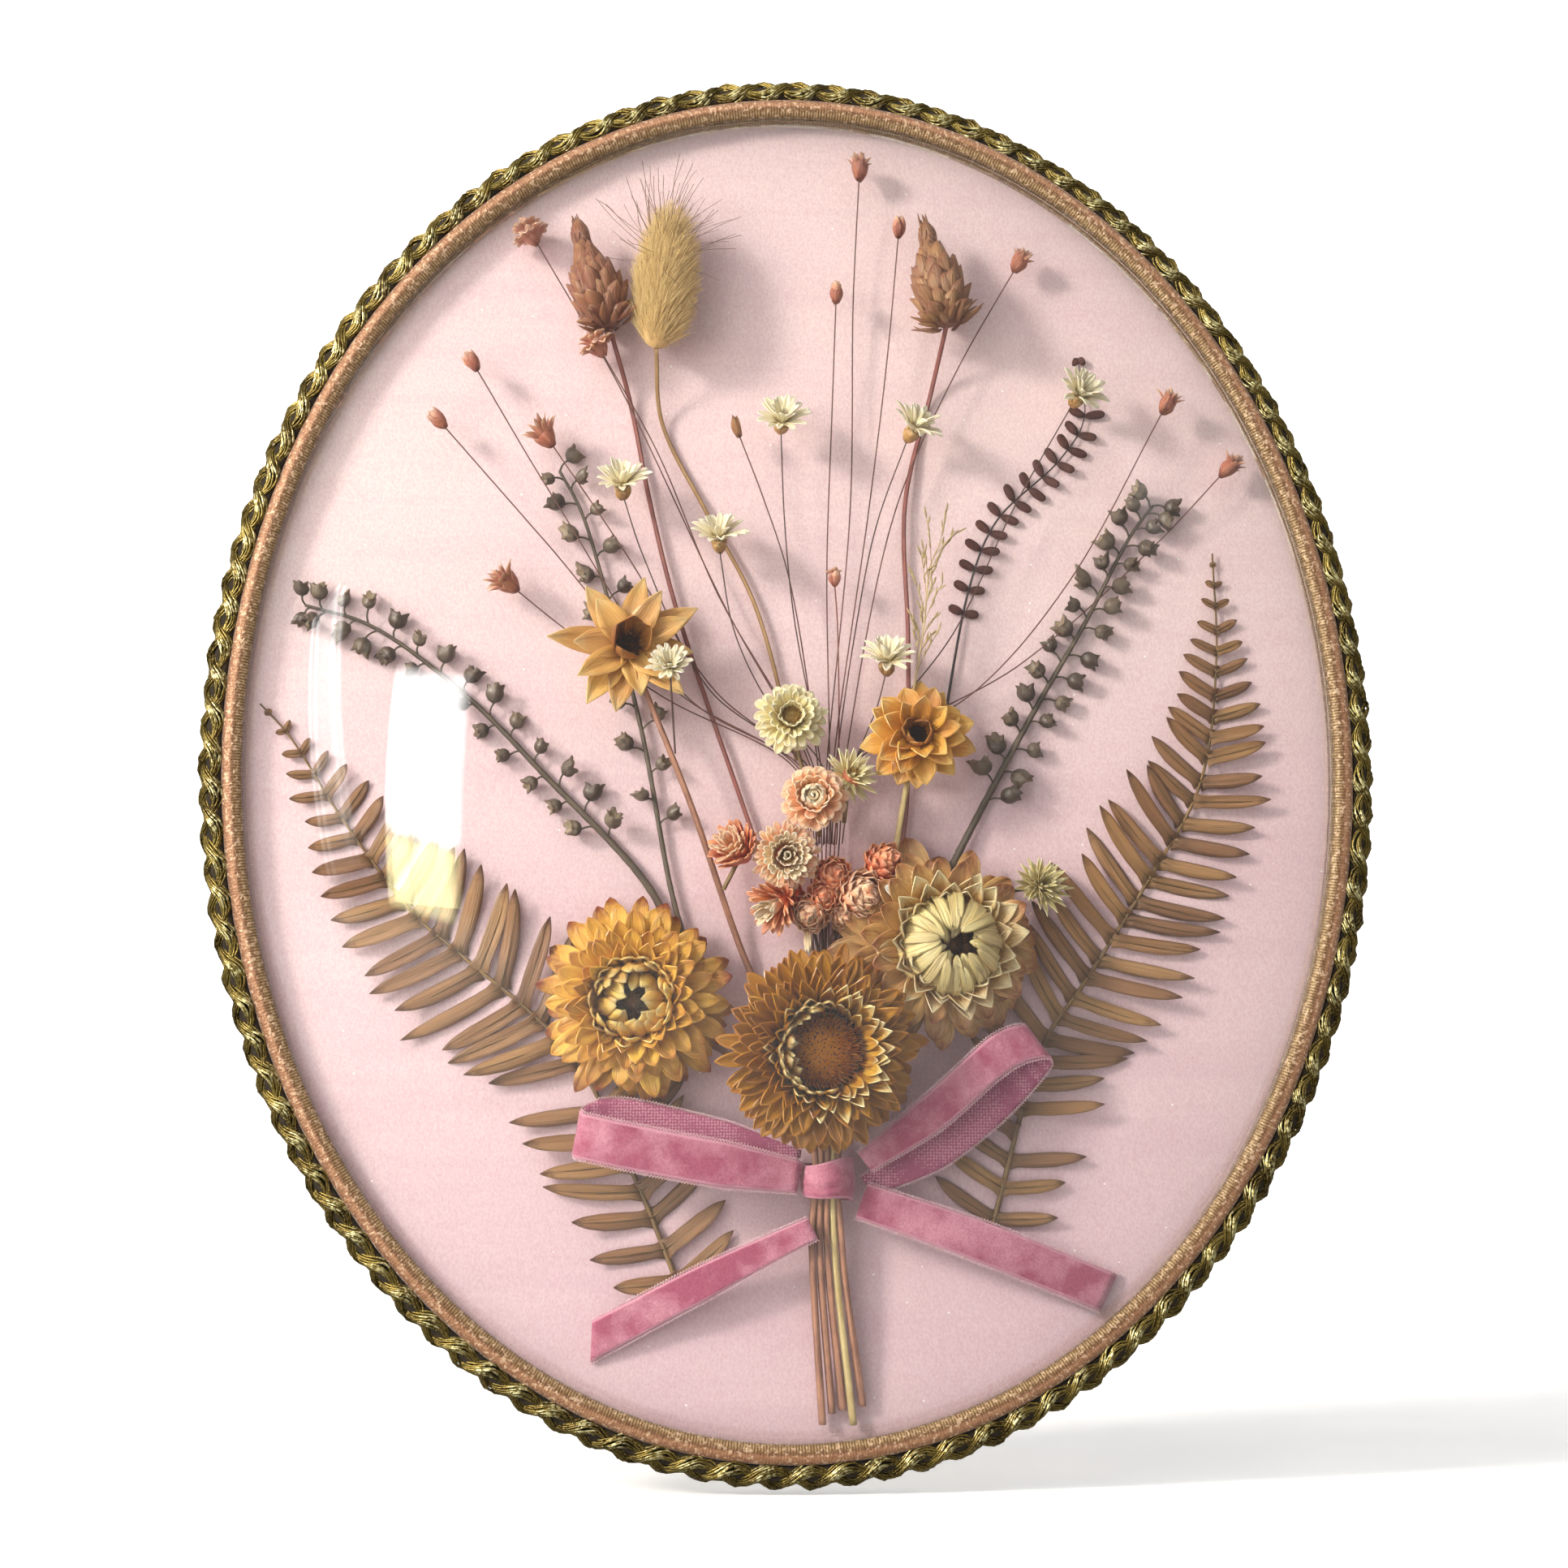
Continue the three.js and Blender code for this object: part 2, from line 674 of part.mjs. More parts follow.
function fernLeaf({ ribShares, leaflets, reach, bare = 0 }) {
  const rib = new THREE.SplineCurve(
    ribShares.map(([across, up]) => new THREE.Vector2(across * domeHalfWidth, up * domeHalfHeight)),
  );
  const pitch = ((1 - bare) * rib.getLength()) / (leaflets + 1);
  const from = (share, along, out, side) => {
    const tangent = rib.getTangentAt(share);
    const normal = new THREE.Vector2(-tangent.y, tangent.x).multiplyScalar(side);
    return rib.getPointAt(share).addScaledVector(tangent, along).addScaledVector(normal, out);
  };
  const flank = (side) =>
    Array.from({ length: leaflets }, (_, i) => {
      const share = bare + ((1 - bare) * (i + 0.6)) / (leaflets + 1);
      const grown = Math.sin(Math.PI * (0.24 + (0.74 * i) / leaflets)) ** 0.8 * reach * leafletReach;
      return [
        from(share, -pitch * 0.44, fernRib, side),
        from(share, -pitch * 0.24, grown * 0.5, side),
        from(share, pitch * 0.3, grown, side),
      ];
    }).flat();
  const root = [-1, 1].map((side) => from(0, 0, fernRib, side));
  const outline = [root[0], ...flank(-1), rib.getPointAt(1), ...flank(1).reverse(), root[1]];
  const settings = { depth: leafThickness, bevelEnabled: false };
  const leaf = new THREE.ExtrudeGeometry(new THREE.Shape(outline), settings);
  return leaf.rotateX(Math.PI / 2).translate(0, -satinFront - leafHeight, 0);
}

for (const fern of ferns) add(fern.name, fuse(fernLeaf(fern)), fern.finish);

// Flowers whose stems run down through the bow. Sizes and heights are shares of the largest one's.
// Each has its own place in the tied bundle, and a stem that starts above the wires crosses them at
// overShare.
const strawflowerRadius = 18;
const strawflowerHeight = 11.6;
const overHeight = 6.3;
const knotShare = [0.058, -0.625];
const aboveKnot = -0.57;
const belowKnot = -0.72;
const openLeftShare = [-0.309, 0.159];
const openLeftSize = 0.69;
const openLeftLift = 0.57;
const strawflowers = [
  {
    name: "strawflower_gold", finish: "amberPetal", size: 0.98, lift: 0.47, place: -2, petals: 12,
    look: [-0.1, -0.05], headShare: [-0.29, -0.365], wayShares: [[-0.035, -0.49]],
    endShare: [0.053, -0.975],
  },
  {
    name: "strawflower_ochre", finish: "ochrePetal", size: 1, lift: 1, place: 0, petals: 12,
    look: [0, 0], headShare: [0.037, -0.44], wayShares: [[0.05, -0.52]], endShare: [0.089, -0.955],
  },
  {
    name: "strawflower_cream", finish: "creamPetal", size: 0.92, lift: 0.52, place: 2, petals: 12,
    look: [0.1, 0.05], headShare: [0.264, -0.284], wayShares: [[0.165, -0.5]], endShare: [0.125, -0.95],
  },
  {
    name: "strawflower_open_left", finish: "amberPetal", size: openLeftSize, lift: openLeftLift,
    place: -1, petals: 10, look: [0.05, 0.1], headShare: openLeftShare, overShare: [-0.19, -0.08],
    wayShares: [[-0.09, -0.3], [0.02, -0.49]], endShare: [0.07, -0.96],
  },
  {
    name: "strawflower_open_right", finish: "amberPetal", size: 0.53, lift: 0.655, place: 1, petals: 10,
    look: [0, 0.05], headShare: [0.219, 0.031], overShare: [0.19, -0.1],
    wayShares: [[0.155, -0.3], [0.1, -0.5]], endShare: [0.108, -0.975],
  },
];

function tiedAt(place, up) {
  return at([knotShare[0], up], tiedHeight).add(new THREE.Vector3(place * tiedPitch, 0, 0));
}

for (const flower of strawflowers) {
  const head = at(flower.headShare, flower.lift * strawflowerHeight);
  const petalled = petals(flower.petals, flower.size * strawflowerRadius, strawflowerForm);
  const shape = facing(petalled, head, towards(...flower.look));
  const over = flower.overShare ? [at(flower.overShare, overHeight)] : [];
  const way = flower.wayShares.map((share) => at(share, stemHeight));
  const tied = [aboveKnot, belowKnot].map((up) => tiedAt(flower.place, up));
  const stem = [head, ...over, ...way, ...tied, at(flower.endShare, stemHeight)];
  add(flower.name, onStem(shape, stem, stemThickness, 4, 2 * stem.length - 3), flower.finish);
}

// Everlastings in front of the wires, on short stalks. Sizes and heights are shares of the upper
// cream one's.
const everlastingRadius = 6.2;
const everlastingHeight = 7.8;
const everlastings = [
  {
    name: "everlasting_cream_upper", finish: "creamPetal", size: 1, lift: 1, look: [0, 0.1],
    headShare: [-0.013, 0.054], footShare: [0.03, -0.08],
  },
  {
    name: "everlasting_cream_lower", finish: "creamPetal", size: 0.81, lift: 1, look: [0.2, 0.2],
    headShare: [0.09, -0.035], footShare: [0.087, -0.1],
  },
  {
    name: "everlasting_peach_upper", finish: "peachPetal", size: 0.94, lift: 1.5, look: [-0.1, 0.1],
    headShare: [0.028, -0.07], footShare: [0.042, -0.12],
  },
  {
    name: "everlasting_peach_lower", finish: "peachPetal", size: 0.84, lift: 1.4, look: [0, -0.1],
    headShare: [-0.023, -0.154], footShare: [-0.045, -0.21], footLift: 1.07,
  },
  {
    name: "everlasting_salmon", finish: "peachPetal", size: 0.65, lift: 1.03, look: [-0.4, 0.6],
    headShare: [-0.114, -0.143], footShare: [-0.132, -0.2], footLift: 0.64,
  },
  {
    name: "straw_tuft", finish: "creamPetal", size: 0.68, lift: 0.51, look: [0.3, 0.3],
    headShare: [0.445, -0.19], footShare: [0.36, -0.2], footLift: 0.17,
  },
];

for (const flower of everlastings) {
  const head = at(flower.headShare, flower.lift * everlastingHeight);
  const petalled = petals(8, flower.size * everlastingRadius, everlastingForm);
  const shape = facing(petalled, head, towards(...flower.look));
  const footHeight = flower.footLift ? flower.footLift * everlastingHeight : overHeight;
  const stem = [head, at(flower.footShare, footHeight)];
  add(flower.name, onStem(shape, stem, stalkThickness, 4, 1), flower.finish);
}

// Mini daisy: it leans on the front of the open left strawflower, so its places are shares of that
// flower's radius.
const miniRadius = 2.6;
const openLeftRadius = openLeftSize * strawflowerRadius;
const miniPlaces = [
  { across: 0.58, up: -0.36, lift: 0.53 },
  { across: 0.68, up: -1.53, lift: 0.08 },
];
const miniRun = miniPlaces.map(({ across, up, lift }) => {
  const middle = at(openLeftShare, openLeftLift * strawflowerHeight);
  return middle.add(new THREE.Vector3(across, -lift, up).multiplyScalar(openLeftRadius));
});
const miniDaisy = facing(petals(7, miniRadius, daisyForm), miniRun[0], towards(0.1, 0.1));
add("daisy_mini", onStem(miniDaisy, miniRun, wireThickness, 3, 1), "creamPetal");

// Round pink heads, fused where they press on one another.
// Their places are shares of the largest ball's radius, from the middle one.
const clusterRadius = 4.2;
const clusterHeight = 4.9;
const clusterShare = [0.055, -0.188];
const clusterBalls = [
  { size: 1, place: [-2.34, -1.49] },
  { size: 1, place: [-0.73, -1.4] },
  { size: 0.98, place: [0, 0] },
  { size: 0.9, place: [1.05, -0.8] },
  { size: 0.88, place: [1.8, 0.51] },
];

const pinkHeads = clusterBalls.map(({ size, place: [across, up] }) => {
  const ball = new THREE.SphereGeometry(size * clusterRadius, 7, 5);
  const middle = at(clusterShare, clusterHeight);
  const x = middle.x + across * clusterRadius;
  return ball.translate(x, middle.y, middle.z + up * clusterRadius);
});
add("everlasting_pink_cluster", fuse(...pinkHeads), "redPetal");

// Grass wisp: a slender head bent along its own stalk.
const wispShares = [[0.272, 0.337], [0.248, 0.294], [0.234, 0.197], [0.212, 0.085]];
const wispHeight = 7;
const wispThickness = 1.2;
const wisp = tube(route(wispShares, wispHeight, wispHeight), wispThickness, 6, 4);
add("grass_wisp", fuse(wisp), "grassHead");

// Velvet bow. A strap is a flat ribbon along its points, standing across the line to its far point,
// and each point gives its place, its height as a share of the knot's depth and its share of the
// ribbon's width.
const straps = [
  {
    name: "bow_loop_left", far: 2, steps: 18,
    points: [
      [[0.006, -0.622], 0.8, 0.7], [[-0.16, -0.6], 1, 1], [[-0.36, -0.568], 0.94, 1],
      [[-0.392, -0.562], 0.78, 1], [[-0.35, -0.556], 0.64, 1], [[-0.15, -0.585], 0.62, 1],
      [[0.006, -0.61], 0.56, 0.7],
    ],
  },
  {
    name: "bow_loop_right", far: 2, steps: 18,
    points: [
      [[0.122, -0.61], 0.8, 0.55], [[0.25, -0.54], 0.98, 1], [[0.405, -0.438], 0.94, 1],
      [[0.445, -0.418], 0.78, 1], [[0.4, -0.45], 0.62, 1], [[0.24, -0.556], 0.58, 1],
      [[0.124, -0.63], 0.54, 0.55],
    ],
  },
  {
    name: "bow_tail_left", far: 2, steps: 10,
    points: [ [[0.03, -0.695], 0.72, 0.5], [[-0.12, -0.755], 0.52, 0.75], [[-0.36, -0.858], 0.1, 0.8]],
  },
  {
    name: "bow_tail_right", far: 2, steps: 10,
    points: [ [[0.118, -0.655], 0.64, 0.8], [[0.32, -0.71], 0.54, 0.9], [[0.57, -0.788], 0.11, 0.9]],
  },
];

function strap({ points, far, steps }) {
  const places = points.map(([share, lift]) => at(share, lift * knotDepth));
  const path = new THREE.CatmullRomCurve3(places);
  const run = places[far].clone().sub(places[0]);
  const across = new THREE.Vector3(-run.z, 0, run.x).normalize();
  const widthAt = (share) => {
    const step = share * (points.length - 1);
    const from = Math.min(Math.floor(step), points.length - 2);
    return THREE.MathUtils.lerp(points[from][2], points[from + 1][2], step - from) * ribbonWidth;
  };
  const rings = Array.from({ length: steps + 1 }, (_, i) => {
    const share = i / steps;
    const tangent = path.getTangent(share);
    const outward = tangent.clone().cross(across).normalize();
    const place = path.getPoint(share);
    const toEdge = across.clone().multiplyScalar(widthAt(share) / 2);
    const toFace = outward.multiplyScalar(ribbonThickness / 2);
    return [[1, -1], [1, 1], [-1, 1], [-1, -1]].map(([side, face]) =>
      place.clone().addScaledVector(toEdge, side).addScaledVector(toFace, face),
    );
  });
  return skin(rings);
}

for (const piece of straps) add(piece.name, fuse(strap(piece)), "velvet");

// The knot is the ribbon's own turn round the stems.
const knotSteps = 20;
const knotMiddle = at(knotShare, knotBack + knotDepth / 2);
const knotSection = [[ribbonThickness, 0.45], [ribbonThickness, -0.45], [0, -0.45], [0, 0.45]];
const knotRings = Array.from({ length: knotSteps }, (_, i) => {
  const turn = (i / knotSteps) * 2 * Math.PI;
  return knotSection.map(([inset, side]) => {
    const x = (knotHalfWidth - inset) * Math.cos(turn);
    const y = -(knotDepth / 2 - inset) * Math.sin(turn);
    return knotMiddle.clone().add(new THREE.Vector3(x, y, side * ribbonWidth));
  });
});
add("bow_knot", fuse(skin(knotRings, true)), "velvet");

export default part;
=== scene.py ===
import json
import math
from functools import partial

import bpy
import numpy as np
from mathutils import Matrix, Vector

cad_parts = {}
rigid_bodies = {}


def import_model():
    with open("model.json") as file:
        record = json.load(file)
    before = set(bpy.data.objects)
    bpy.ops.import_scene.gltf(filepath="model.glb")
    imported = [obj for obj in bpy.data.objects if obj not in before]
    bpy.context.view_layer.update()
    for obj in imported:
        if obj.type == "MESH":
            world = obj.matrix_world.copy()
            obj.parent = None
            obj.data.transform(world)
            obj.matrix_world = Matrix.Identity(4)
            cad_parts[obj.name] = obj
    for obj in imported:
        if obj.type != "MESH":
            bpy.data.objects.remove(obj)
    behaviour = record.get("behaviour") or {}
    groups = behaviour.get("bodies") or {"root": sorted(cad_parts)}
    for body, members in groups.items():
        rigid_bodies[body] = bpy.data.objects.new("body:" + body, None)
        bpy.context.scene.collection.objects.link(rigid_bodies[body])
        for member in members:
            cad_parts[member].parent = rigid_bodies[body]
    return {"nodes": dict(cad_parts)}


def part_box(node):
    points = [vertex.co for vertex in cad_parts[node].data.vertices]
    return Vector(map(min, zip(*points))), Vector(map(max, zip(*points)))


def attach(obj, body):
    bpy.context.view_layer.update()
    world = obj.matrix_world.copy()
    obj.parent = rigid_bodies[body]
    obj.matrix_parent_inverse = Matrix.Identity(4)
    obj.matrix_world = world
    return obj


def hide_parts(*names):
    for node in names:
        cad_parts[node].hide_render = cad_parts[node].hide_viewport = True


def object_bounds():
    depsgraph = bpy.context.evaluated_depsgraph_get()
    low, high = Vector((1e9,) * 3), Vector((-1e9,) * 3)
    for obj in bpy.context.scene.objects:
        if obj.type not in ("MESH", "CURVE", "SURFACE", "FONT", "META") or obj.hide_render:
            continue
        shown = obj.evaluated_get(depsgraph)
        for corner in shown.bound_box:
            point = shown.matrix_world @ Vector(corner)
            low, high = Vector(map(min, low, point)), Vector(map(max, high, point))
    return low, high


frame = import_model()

bl_info = {
    "name": "Domed Dried Flower Frame",
    "version": (1, 0, 0),
    "blender": (4, 5, 0),
    "location": "View3D > Sidebar > Flower Frame",
    "description": "Dresses an oval frame of dried flowers under convex glass",
    "category": "Add Mesh",
}

CAD_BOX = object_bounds()
MM = 0.001

# Places are shares of the dome's half width and half height, and heights are millimetres in front
# of the satin. Shapes are made in millimetres, and finished() writes them in metres.
DOME = (97.4, 119.4)
BOARD = (102.6, 124.6)
SATIN_FRONT = 6.2
GLASS_BACK, GLASS_FOOT, GLASS_WALL = 6.5, 8.7, 2.2
UP = np.array((0.0, 0.0, 1.0))
VIEWER = np.array((0.0, -1.0, 0.0))
GOLDEN_TURN = 2.39996  # radians from one petal of a spiral to the next


def at(place, height):
    return np.array((place[0] * DOME[0], -SATIN_FRONT - height, place[1] * DOME[1]))


def unit(v):
    return np.asarray(v, float) / np.linalg.norm(v)


def colour(code):
    """An sRGB hex value as a linear colour. One that is linear already stays as it is."""
    if not isinstance(code, str):
        return code
    shares = [int(code[i : i + 2], 16) / 255 for i in (1, 3, 5)]
    return tuple(s / 12.92 if s <= 0.04045 else ((s + 0.055) / 1.055) ** 2.4 for s in shares) + (1.0,)


# Sizes and colours


def size(name, description, default, low, high):
    return bpy.props.FloatProperty(
        name=name, description=description, default=default, min=low, max=high,
        subtype="DISTANCE", unit="LENGTH", precision=5,
    )


def count(name, description, default, low, high):
    return bpy.props.IntProperty(name=name, description=description, default=default, min=low, max=high)


def paint(name, description, code):
    return bpy.props.FloatVectorProperty(
        name=name, description=description, default=colour(code)[:3], size=3, min=0, max=1, subtype="COLOR",
    )


class FlowerFrameSizes(bpy.types.PropertyGroup):
    plait_turns: count("Plait turns", "Full turns of the three strands round the oval", 37, 12, 80)
    plait_thread: size("Plait thread", "Radius of one metal thread of the plait", 0.00023, 0.0001, 0.001)
    plait_pitch: size("Plait thread pitch", "Distance between the threads side by side in a strand", 0.00041,
                      0.0002, 0.002)
    rib_pitch: size("Rib pitch", "Distance between the wound ribs of the gold ribbon", 0.00052, 0.0003, 0.003)
    band_width: size("Gold ribbon width", "Width of the gold ribbon on the glass", 0.0037, 0.001, 0.01)
    band_height: size("Gold ribbon height", "Height of the gold ribbon's crown", 0.0014, 0.0005, 0.005)
    strawflower: size("Strawflower radius", "Radius of the largest strawflower", 0.018, 0.005, 0.03)
    everlasting: size("Everlasting radius", "Radius of the largest everlasting", 0.0062, 0.002, 0.01)
    star_daisy: size("Star daisy radius", "Radius of a star daisy", 0.0046, 0.001, 0.008)
    wire_bud: size("Wire bud radius", "Radius of a bud on a wire", 0.00195, 0.001, 0.005)
    leaflet: size("Leaflet reach", "Length of the longest fern leaflet", 0.0172, 0.005, 0.03)
    hair: size("Grass hair", "Length of a hair of the bunny tail", 0.0044, 0.001, 0.01)
    hairs: count("Grass hairs", "Number of short hairs on the bunny tail", 6000, 100, 20000)
    ribbon_width: size("Velvet ribbon width", "Width of the velvet ribbon", 0.0077, 0.003, 0.02)
    picot_pitch: size("Picot pitch", "Distance between the loops of the velvet's selvedge", 0.00056, 0.0004,
                      0.003)
    satin_ripple: size("Satin ripple", "Depth of the ripples in the stretched satin", 0.00012, 0.0, 0.0005)


class FlowerFrameColours(bpy.types.PropertyGroup):
    satin: paint("Satin", "Pale pink satin ground", "#F0DADA")
    velvet: paint("Velvet", "Dusty pink velvet", "#AC5672")
    gold: paint("Gold petals", "Middle of an amber petal", "#F3BA52")
    ochre: paint("Ochre petals", "Middle of an ochre petal", "#B97C1C")
    cream: paint("Cream petals", "Middle of a cream petal", "#EAD498")
    fern: paint("Fern", "Pressed brown fern", "#A87C54")
    plait: paint("Plait", "Tarnished gold thread", "#85743C")
    band: paint("Gold ribbon", "Peach gold silk", "#B4845F")


def sizes():
    return bpy.context.scene.flower_frame_sizes


def colours(name):
    return tuple(getattr(bpy.context.scene.flower_frame_colours, name)) + (1.0,)


# Shapes


class Heap:
    """Closed skins and tubes gathered into one mesh, in millimetres. Each point carries marks that
    the finishes read: how far along its petal it is, how far across, and its petal's own tone."""

    def __init__(self):
        self.points, self.marks, self.faces, self.smooth, self.slots, self.size = [], [], [], [], [], 0

    def add(self, points, marks, faces, slot=0):
        """faces is a list of (array of corners, smooth) pairs. A skin that is inside out is turned."""
        fans = [np.stack([points[c[:, 0]], points[c[:, i]], points[c[:, i + 1]]], 1)
                for c, rounded in faces for i in range(1, c.shape[1] - 1)]
        a, b, c = (np.concatenate([fan[:, i] for fan in fans]) - points[0] for i in range(3))
        inside_out = np.einsum("ij,ij->", a, np.cross(b, c)) < 0
        for corners, rounded in faces:
            corners = corners[:, ::-1] if inside_out else corners
            self.faces.append(corners + self.size)
            self.smooth.append(np.full(len(corners), rounded))
            self.slots.append(np.full(len(corners), slot))
        self.points.append(np.asarray(points, float))
        self.marks.append(marks)
        self.size += len(points)


def marked(along, across, tone, side):
    """The marks of a grid of points, one row for each point."""
    n = np.broadcast_shapes(np.shape(along), np.shape(across), np.shape(tone), np.shape(side))
    return np.stack([np.broadcast_to(x, n).ravel() for x in (along, across, tone, side)], -1)


def squares(index):
    """The four-cornered faces between the rows and columns of a grid of point numbers."""
    return np.stack([index[:-1, :-1], index[:-1, 1:], index[1:, 1:], index[1:, :-1]], -1).reshape(-1, 4)


def sheet(heap, grid, thickness, tone=0.5, slot=0, closed=False, run=None):
    """A thin skin on both sides of a grid of points, rows along it and columns across. run is how
    far along each row lies, where they aren't even."""
    rows, cols = grid.shape[:2]
    along, across = np.gradient(grid, axis=0), np.gradient(grid, axis=1)
    if closed:
        along = (np.roll(grid, -1, 0) - np.roll(grid, 1, 0)) / 2
    normal = np.cross(across, along)
    normal /= np.maximum(np.linalg.norm(normal, axis=-1, keepdims=True), 1e-9)
    half = normal * thickness / 2
    n = rows * cols
    index = np.arange(n).reshape(rows, cols)
    if closed:
        index = np.vstack([index, index[:1]])
    front = squares(index)
    back = front[:, [0, 3, 2, 1]] + n
    if closed:
        left, right = index[::-1, 0], index[:, -1]
        p = np.concatenate([left[:-1], right[:-1]])
        q = np.concatenate([left[1:], right[1:]])
    else:
        edge = np.concatenate([index[0, :], index[1:, -1], index[-1, -2::-1], index[-2::-1, 0]])
        p, q = edge[:-1], edge[1:]
    rim = np.stack([p, p + n, q + n, q], -1)
    v = (np.linspace(0, 1, rows) if run is None else run)[:, None]
    u = np.linspace(0, 1, cols)[None, :]
    marks = np.vstack([marked(v, u, tone, 1.0), marked(v, u, tone, 0.0)])
    points = np.vstack([(grid + half).reshape(-1, 3), (grid - half).reshape(-1, 3)])
    heap.add(points, marks, [(front, True), (back, True), (rim, False)], slot=slot)


def moved(place, points):
    return points @ place[:3, :3].T + place[:3, 3]


def frame_at(place, axis, top=UP):
    """A frame at place whose own z runs along axis, and whose own y leans to top."""
    z = unit(axis)
    y = np.asarray(top, float) - z * np.dot(top, z)
    if np.linalg.norm(y) < 1e-3:
        y = np.cross(z, (1.0, 0.0, 0.0))
    y = unit(y)
    m = np.eye(4)
    m[:3, :4] = np.stack([np.cross(y, z), y, z, place], -1)
    return m


def spoke(angle, root=0.0, lift=0.0):
    """A petal's frame in its flower's: its own y runs outwards at an angle round the flower."""
    c, s = math.cos(angle), math.sin(angle)
    m = np.eye(4)
    m[:3, 0], m[:3, 1] = (s, -c, 0), (c, s, 0)
    m[:3, 3] = (c * root, s * root, lift)
    return m


# each outline of a petal: shares of its length, and its width there
OUTLINES = {
    "spoon": ((0, 0.2, 0.45, 0.7, 0.86, 0.95, 1), (0.42, 0.68, 0.95, 1, 0.8, 0.45, 0.05)),
    "blade": ((0, 0.25, 0.5, 0.75, 0.9, 1), (0.5, 0.88, 1, 0.68, 0.3, 0.03)),
    "strap": ((0, 0.2, 0.6, 0.85, 0.95, 1), (0.55, 0.8, 1, 0.92, 0.6, 0.18)),
    "leaflet": ((0, 0.05, 0.15, 0.35, 0.6, 0.82, 0.93, 1), (1.25, 0.95, 0.88, 1, 0.98, 0.72, 0.36, 0.03)),
    "oval": ((0, 0.1, 0.35, 0.7, 0.92, 1), (0.3, 0.6, 0.95, 1, 0.7, 0.15)),
    "shield": ((0, 0.3, 0.62, 0.78, 0.9, 1), (0.6, 0.9, 1, 0.82, 0.42, 0.03)),
}


def petal(heap, place, length, width, rise, outline, cup, sweep=0.0, steps=(8, 4), thick=0.16,
          tone=0.5, slot=0, ripple=0.0):
    """A thin curved petal. Its root is at the origin of its place, it runs out along y, and it
    climbs from rise[0] to rise[1] degrees. cup lifts its margins, and sweep bends it sideways."""
    v = 1 - np.linspace(1, 0, steps[0] + 1) ** 1.35
    u = np.linspace(-1, 1, steps[1] + 1)
    climb = np.radians(rise[0] + (rise[1] - rise[0]) * v)
    middle = (climb[1:] + climb[:-1]) / 2
    step = length * np.diff(v)
    y = np.concatenate([[0], np.cumsum(np.cos(middle) * step)])[:, None]
    z = np.concatenate([[0], np.cumsum(np.sin(middle) * step)])[:, None]
    half = np.interp(v, *OUTLINES[outline])[:, None] * width / 2
    lift = cup * half * u[None, :] ** 2 + ripple * np.sin(u[None, :] * 7 + v[:, None] * 9) * half
    x = u[None, :] * half * (1 - 0.12 * abs(cup)) + sweep * length * v[:, None] ** 2
    grid = np.stack([x, y - lift * np.sin(climb)[:, None], z + lift * np.cos(climb)[:, None]], -1)
    sheet(heap, moved(place, grid), thick, tone, slot, run=v)


def smooth_line(points, steps):
    """Evenly spaced points on a smooth line through the given ones."""
    p = np.asarray(points, float)
    p = np.vstack([2 * p[0] - p[1], p, 2 * p[-1] - p[-2]])
    run = []
    share = np.linspace(0, 1, 13)[:, None]
    for a, b, c, d in zip(p, p[1:], p[2:], p[3:]):
        gaps = [max(np.linalg.norm(r - q), 1e-6) ** 0.5 for q, r in ((a, b), (b, c), (c, d))]
        t = np.concatenate([[0], np.cumsum(gaps)])
        s = t[1] + share * (t[2] - t[1])

        def between(q, r, i, j):
            return (t[j] - s) / (t[j] - t[i]) * q + (s - t[i]) / (t[j] - t[i]) * r

        one, two, three = between(a, b, 0, 1), between(b, c, 1, 2), between(c, d, 2, 3)
        run.append(between(between(one, two, 0, 2), between(two, three, 1, 3), 1, 2)[:-1])
    run.append(p[-2:-1])
    run = np.vstack(run)
    length = np.concatenate([[0], np.cumsum(np.linalg.norm(np.diff(run, axis=0), axis=1))])
    even = np.linspace(0, length[-1], steps + 1)
    return np.stack([np.interp(even, length, run[:, i]) for i in range(3)], -1)


def tube(heap, line, radius, sides, tone=0.5, slot=0, ridges=0.0):
    """A closed tube along a line of points. radius is a number, or one for each point."""
    line = np.asarray(line, float)
    n = len(line)
    radius = np.broadcast_to(radius, (n,))
    tangent = np.gradient(line, axis=0)
    tangent /= np.linalg.norm(tangent, axis=1, keepdims=True)
    side = np.cross(tangent[0], VIEWER if abs(tangent[0] @ VIEWER) < 0.9 else UP)
    rings = []
    for t, place, r in zip(tangent, line, radius):
        side = unit(side - t * (side @ t))
        other = np.cross(t, side)
        turn = np.arange(sides) * 2 * np.pi / sides
        reach = r * (1 + ridges * np.cos(turn * 3))
        rings.append(place + (np.cos(turn) * reach)[:, None] * side + (np.sin(turn) * reach)[:, None] * other)
    loops(heap, rings, tone, slot)


def loops(heap, rings, tone=0.5, slot=0):
    """A closed skin over rings of points, with flat ends."""
    grid = np.asarray(rings)
    n, sides = grid.shape[:2]
    index = np.arange(n * sides).reshape(n, sides)
    index = np.hstack([index, index[:, :1]])
    faces = [(squares(index), True), (index[:1, :-1][:, ::-1], False), (index[-1:, :-1], False)]
    v = np.linspace(0, 1, n)[:, None]
    u = np.linspace(0, 1, sides, endpoint=False)[None, :]
    heap.add(grid.reshape(-1, 3), marked(v, u, tone, 1.0), faces, slot=slot)


def turned(heap, place, profile, sides, tone=0.5, slot=0):
    """A shape turned about its place's z: (radius, height) pairs from one closed end to the other."""
    turn = np.arange(sides) * 2 * np.pi / sides
    rings = [moved(place, np.stack([r * np.cos(turn), r * np.sin(turn), np.full(sides, height)], -1))
             for r, height in profile]
    loops(heap, rings, tone, slot)


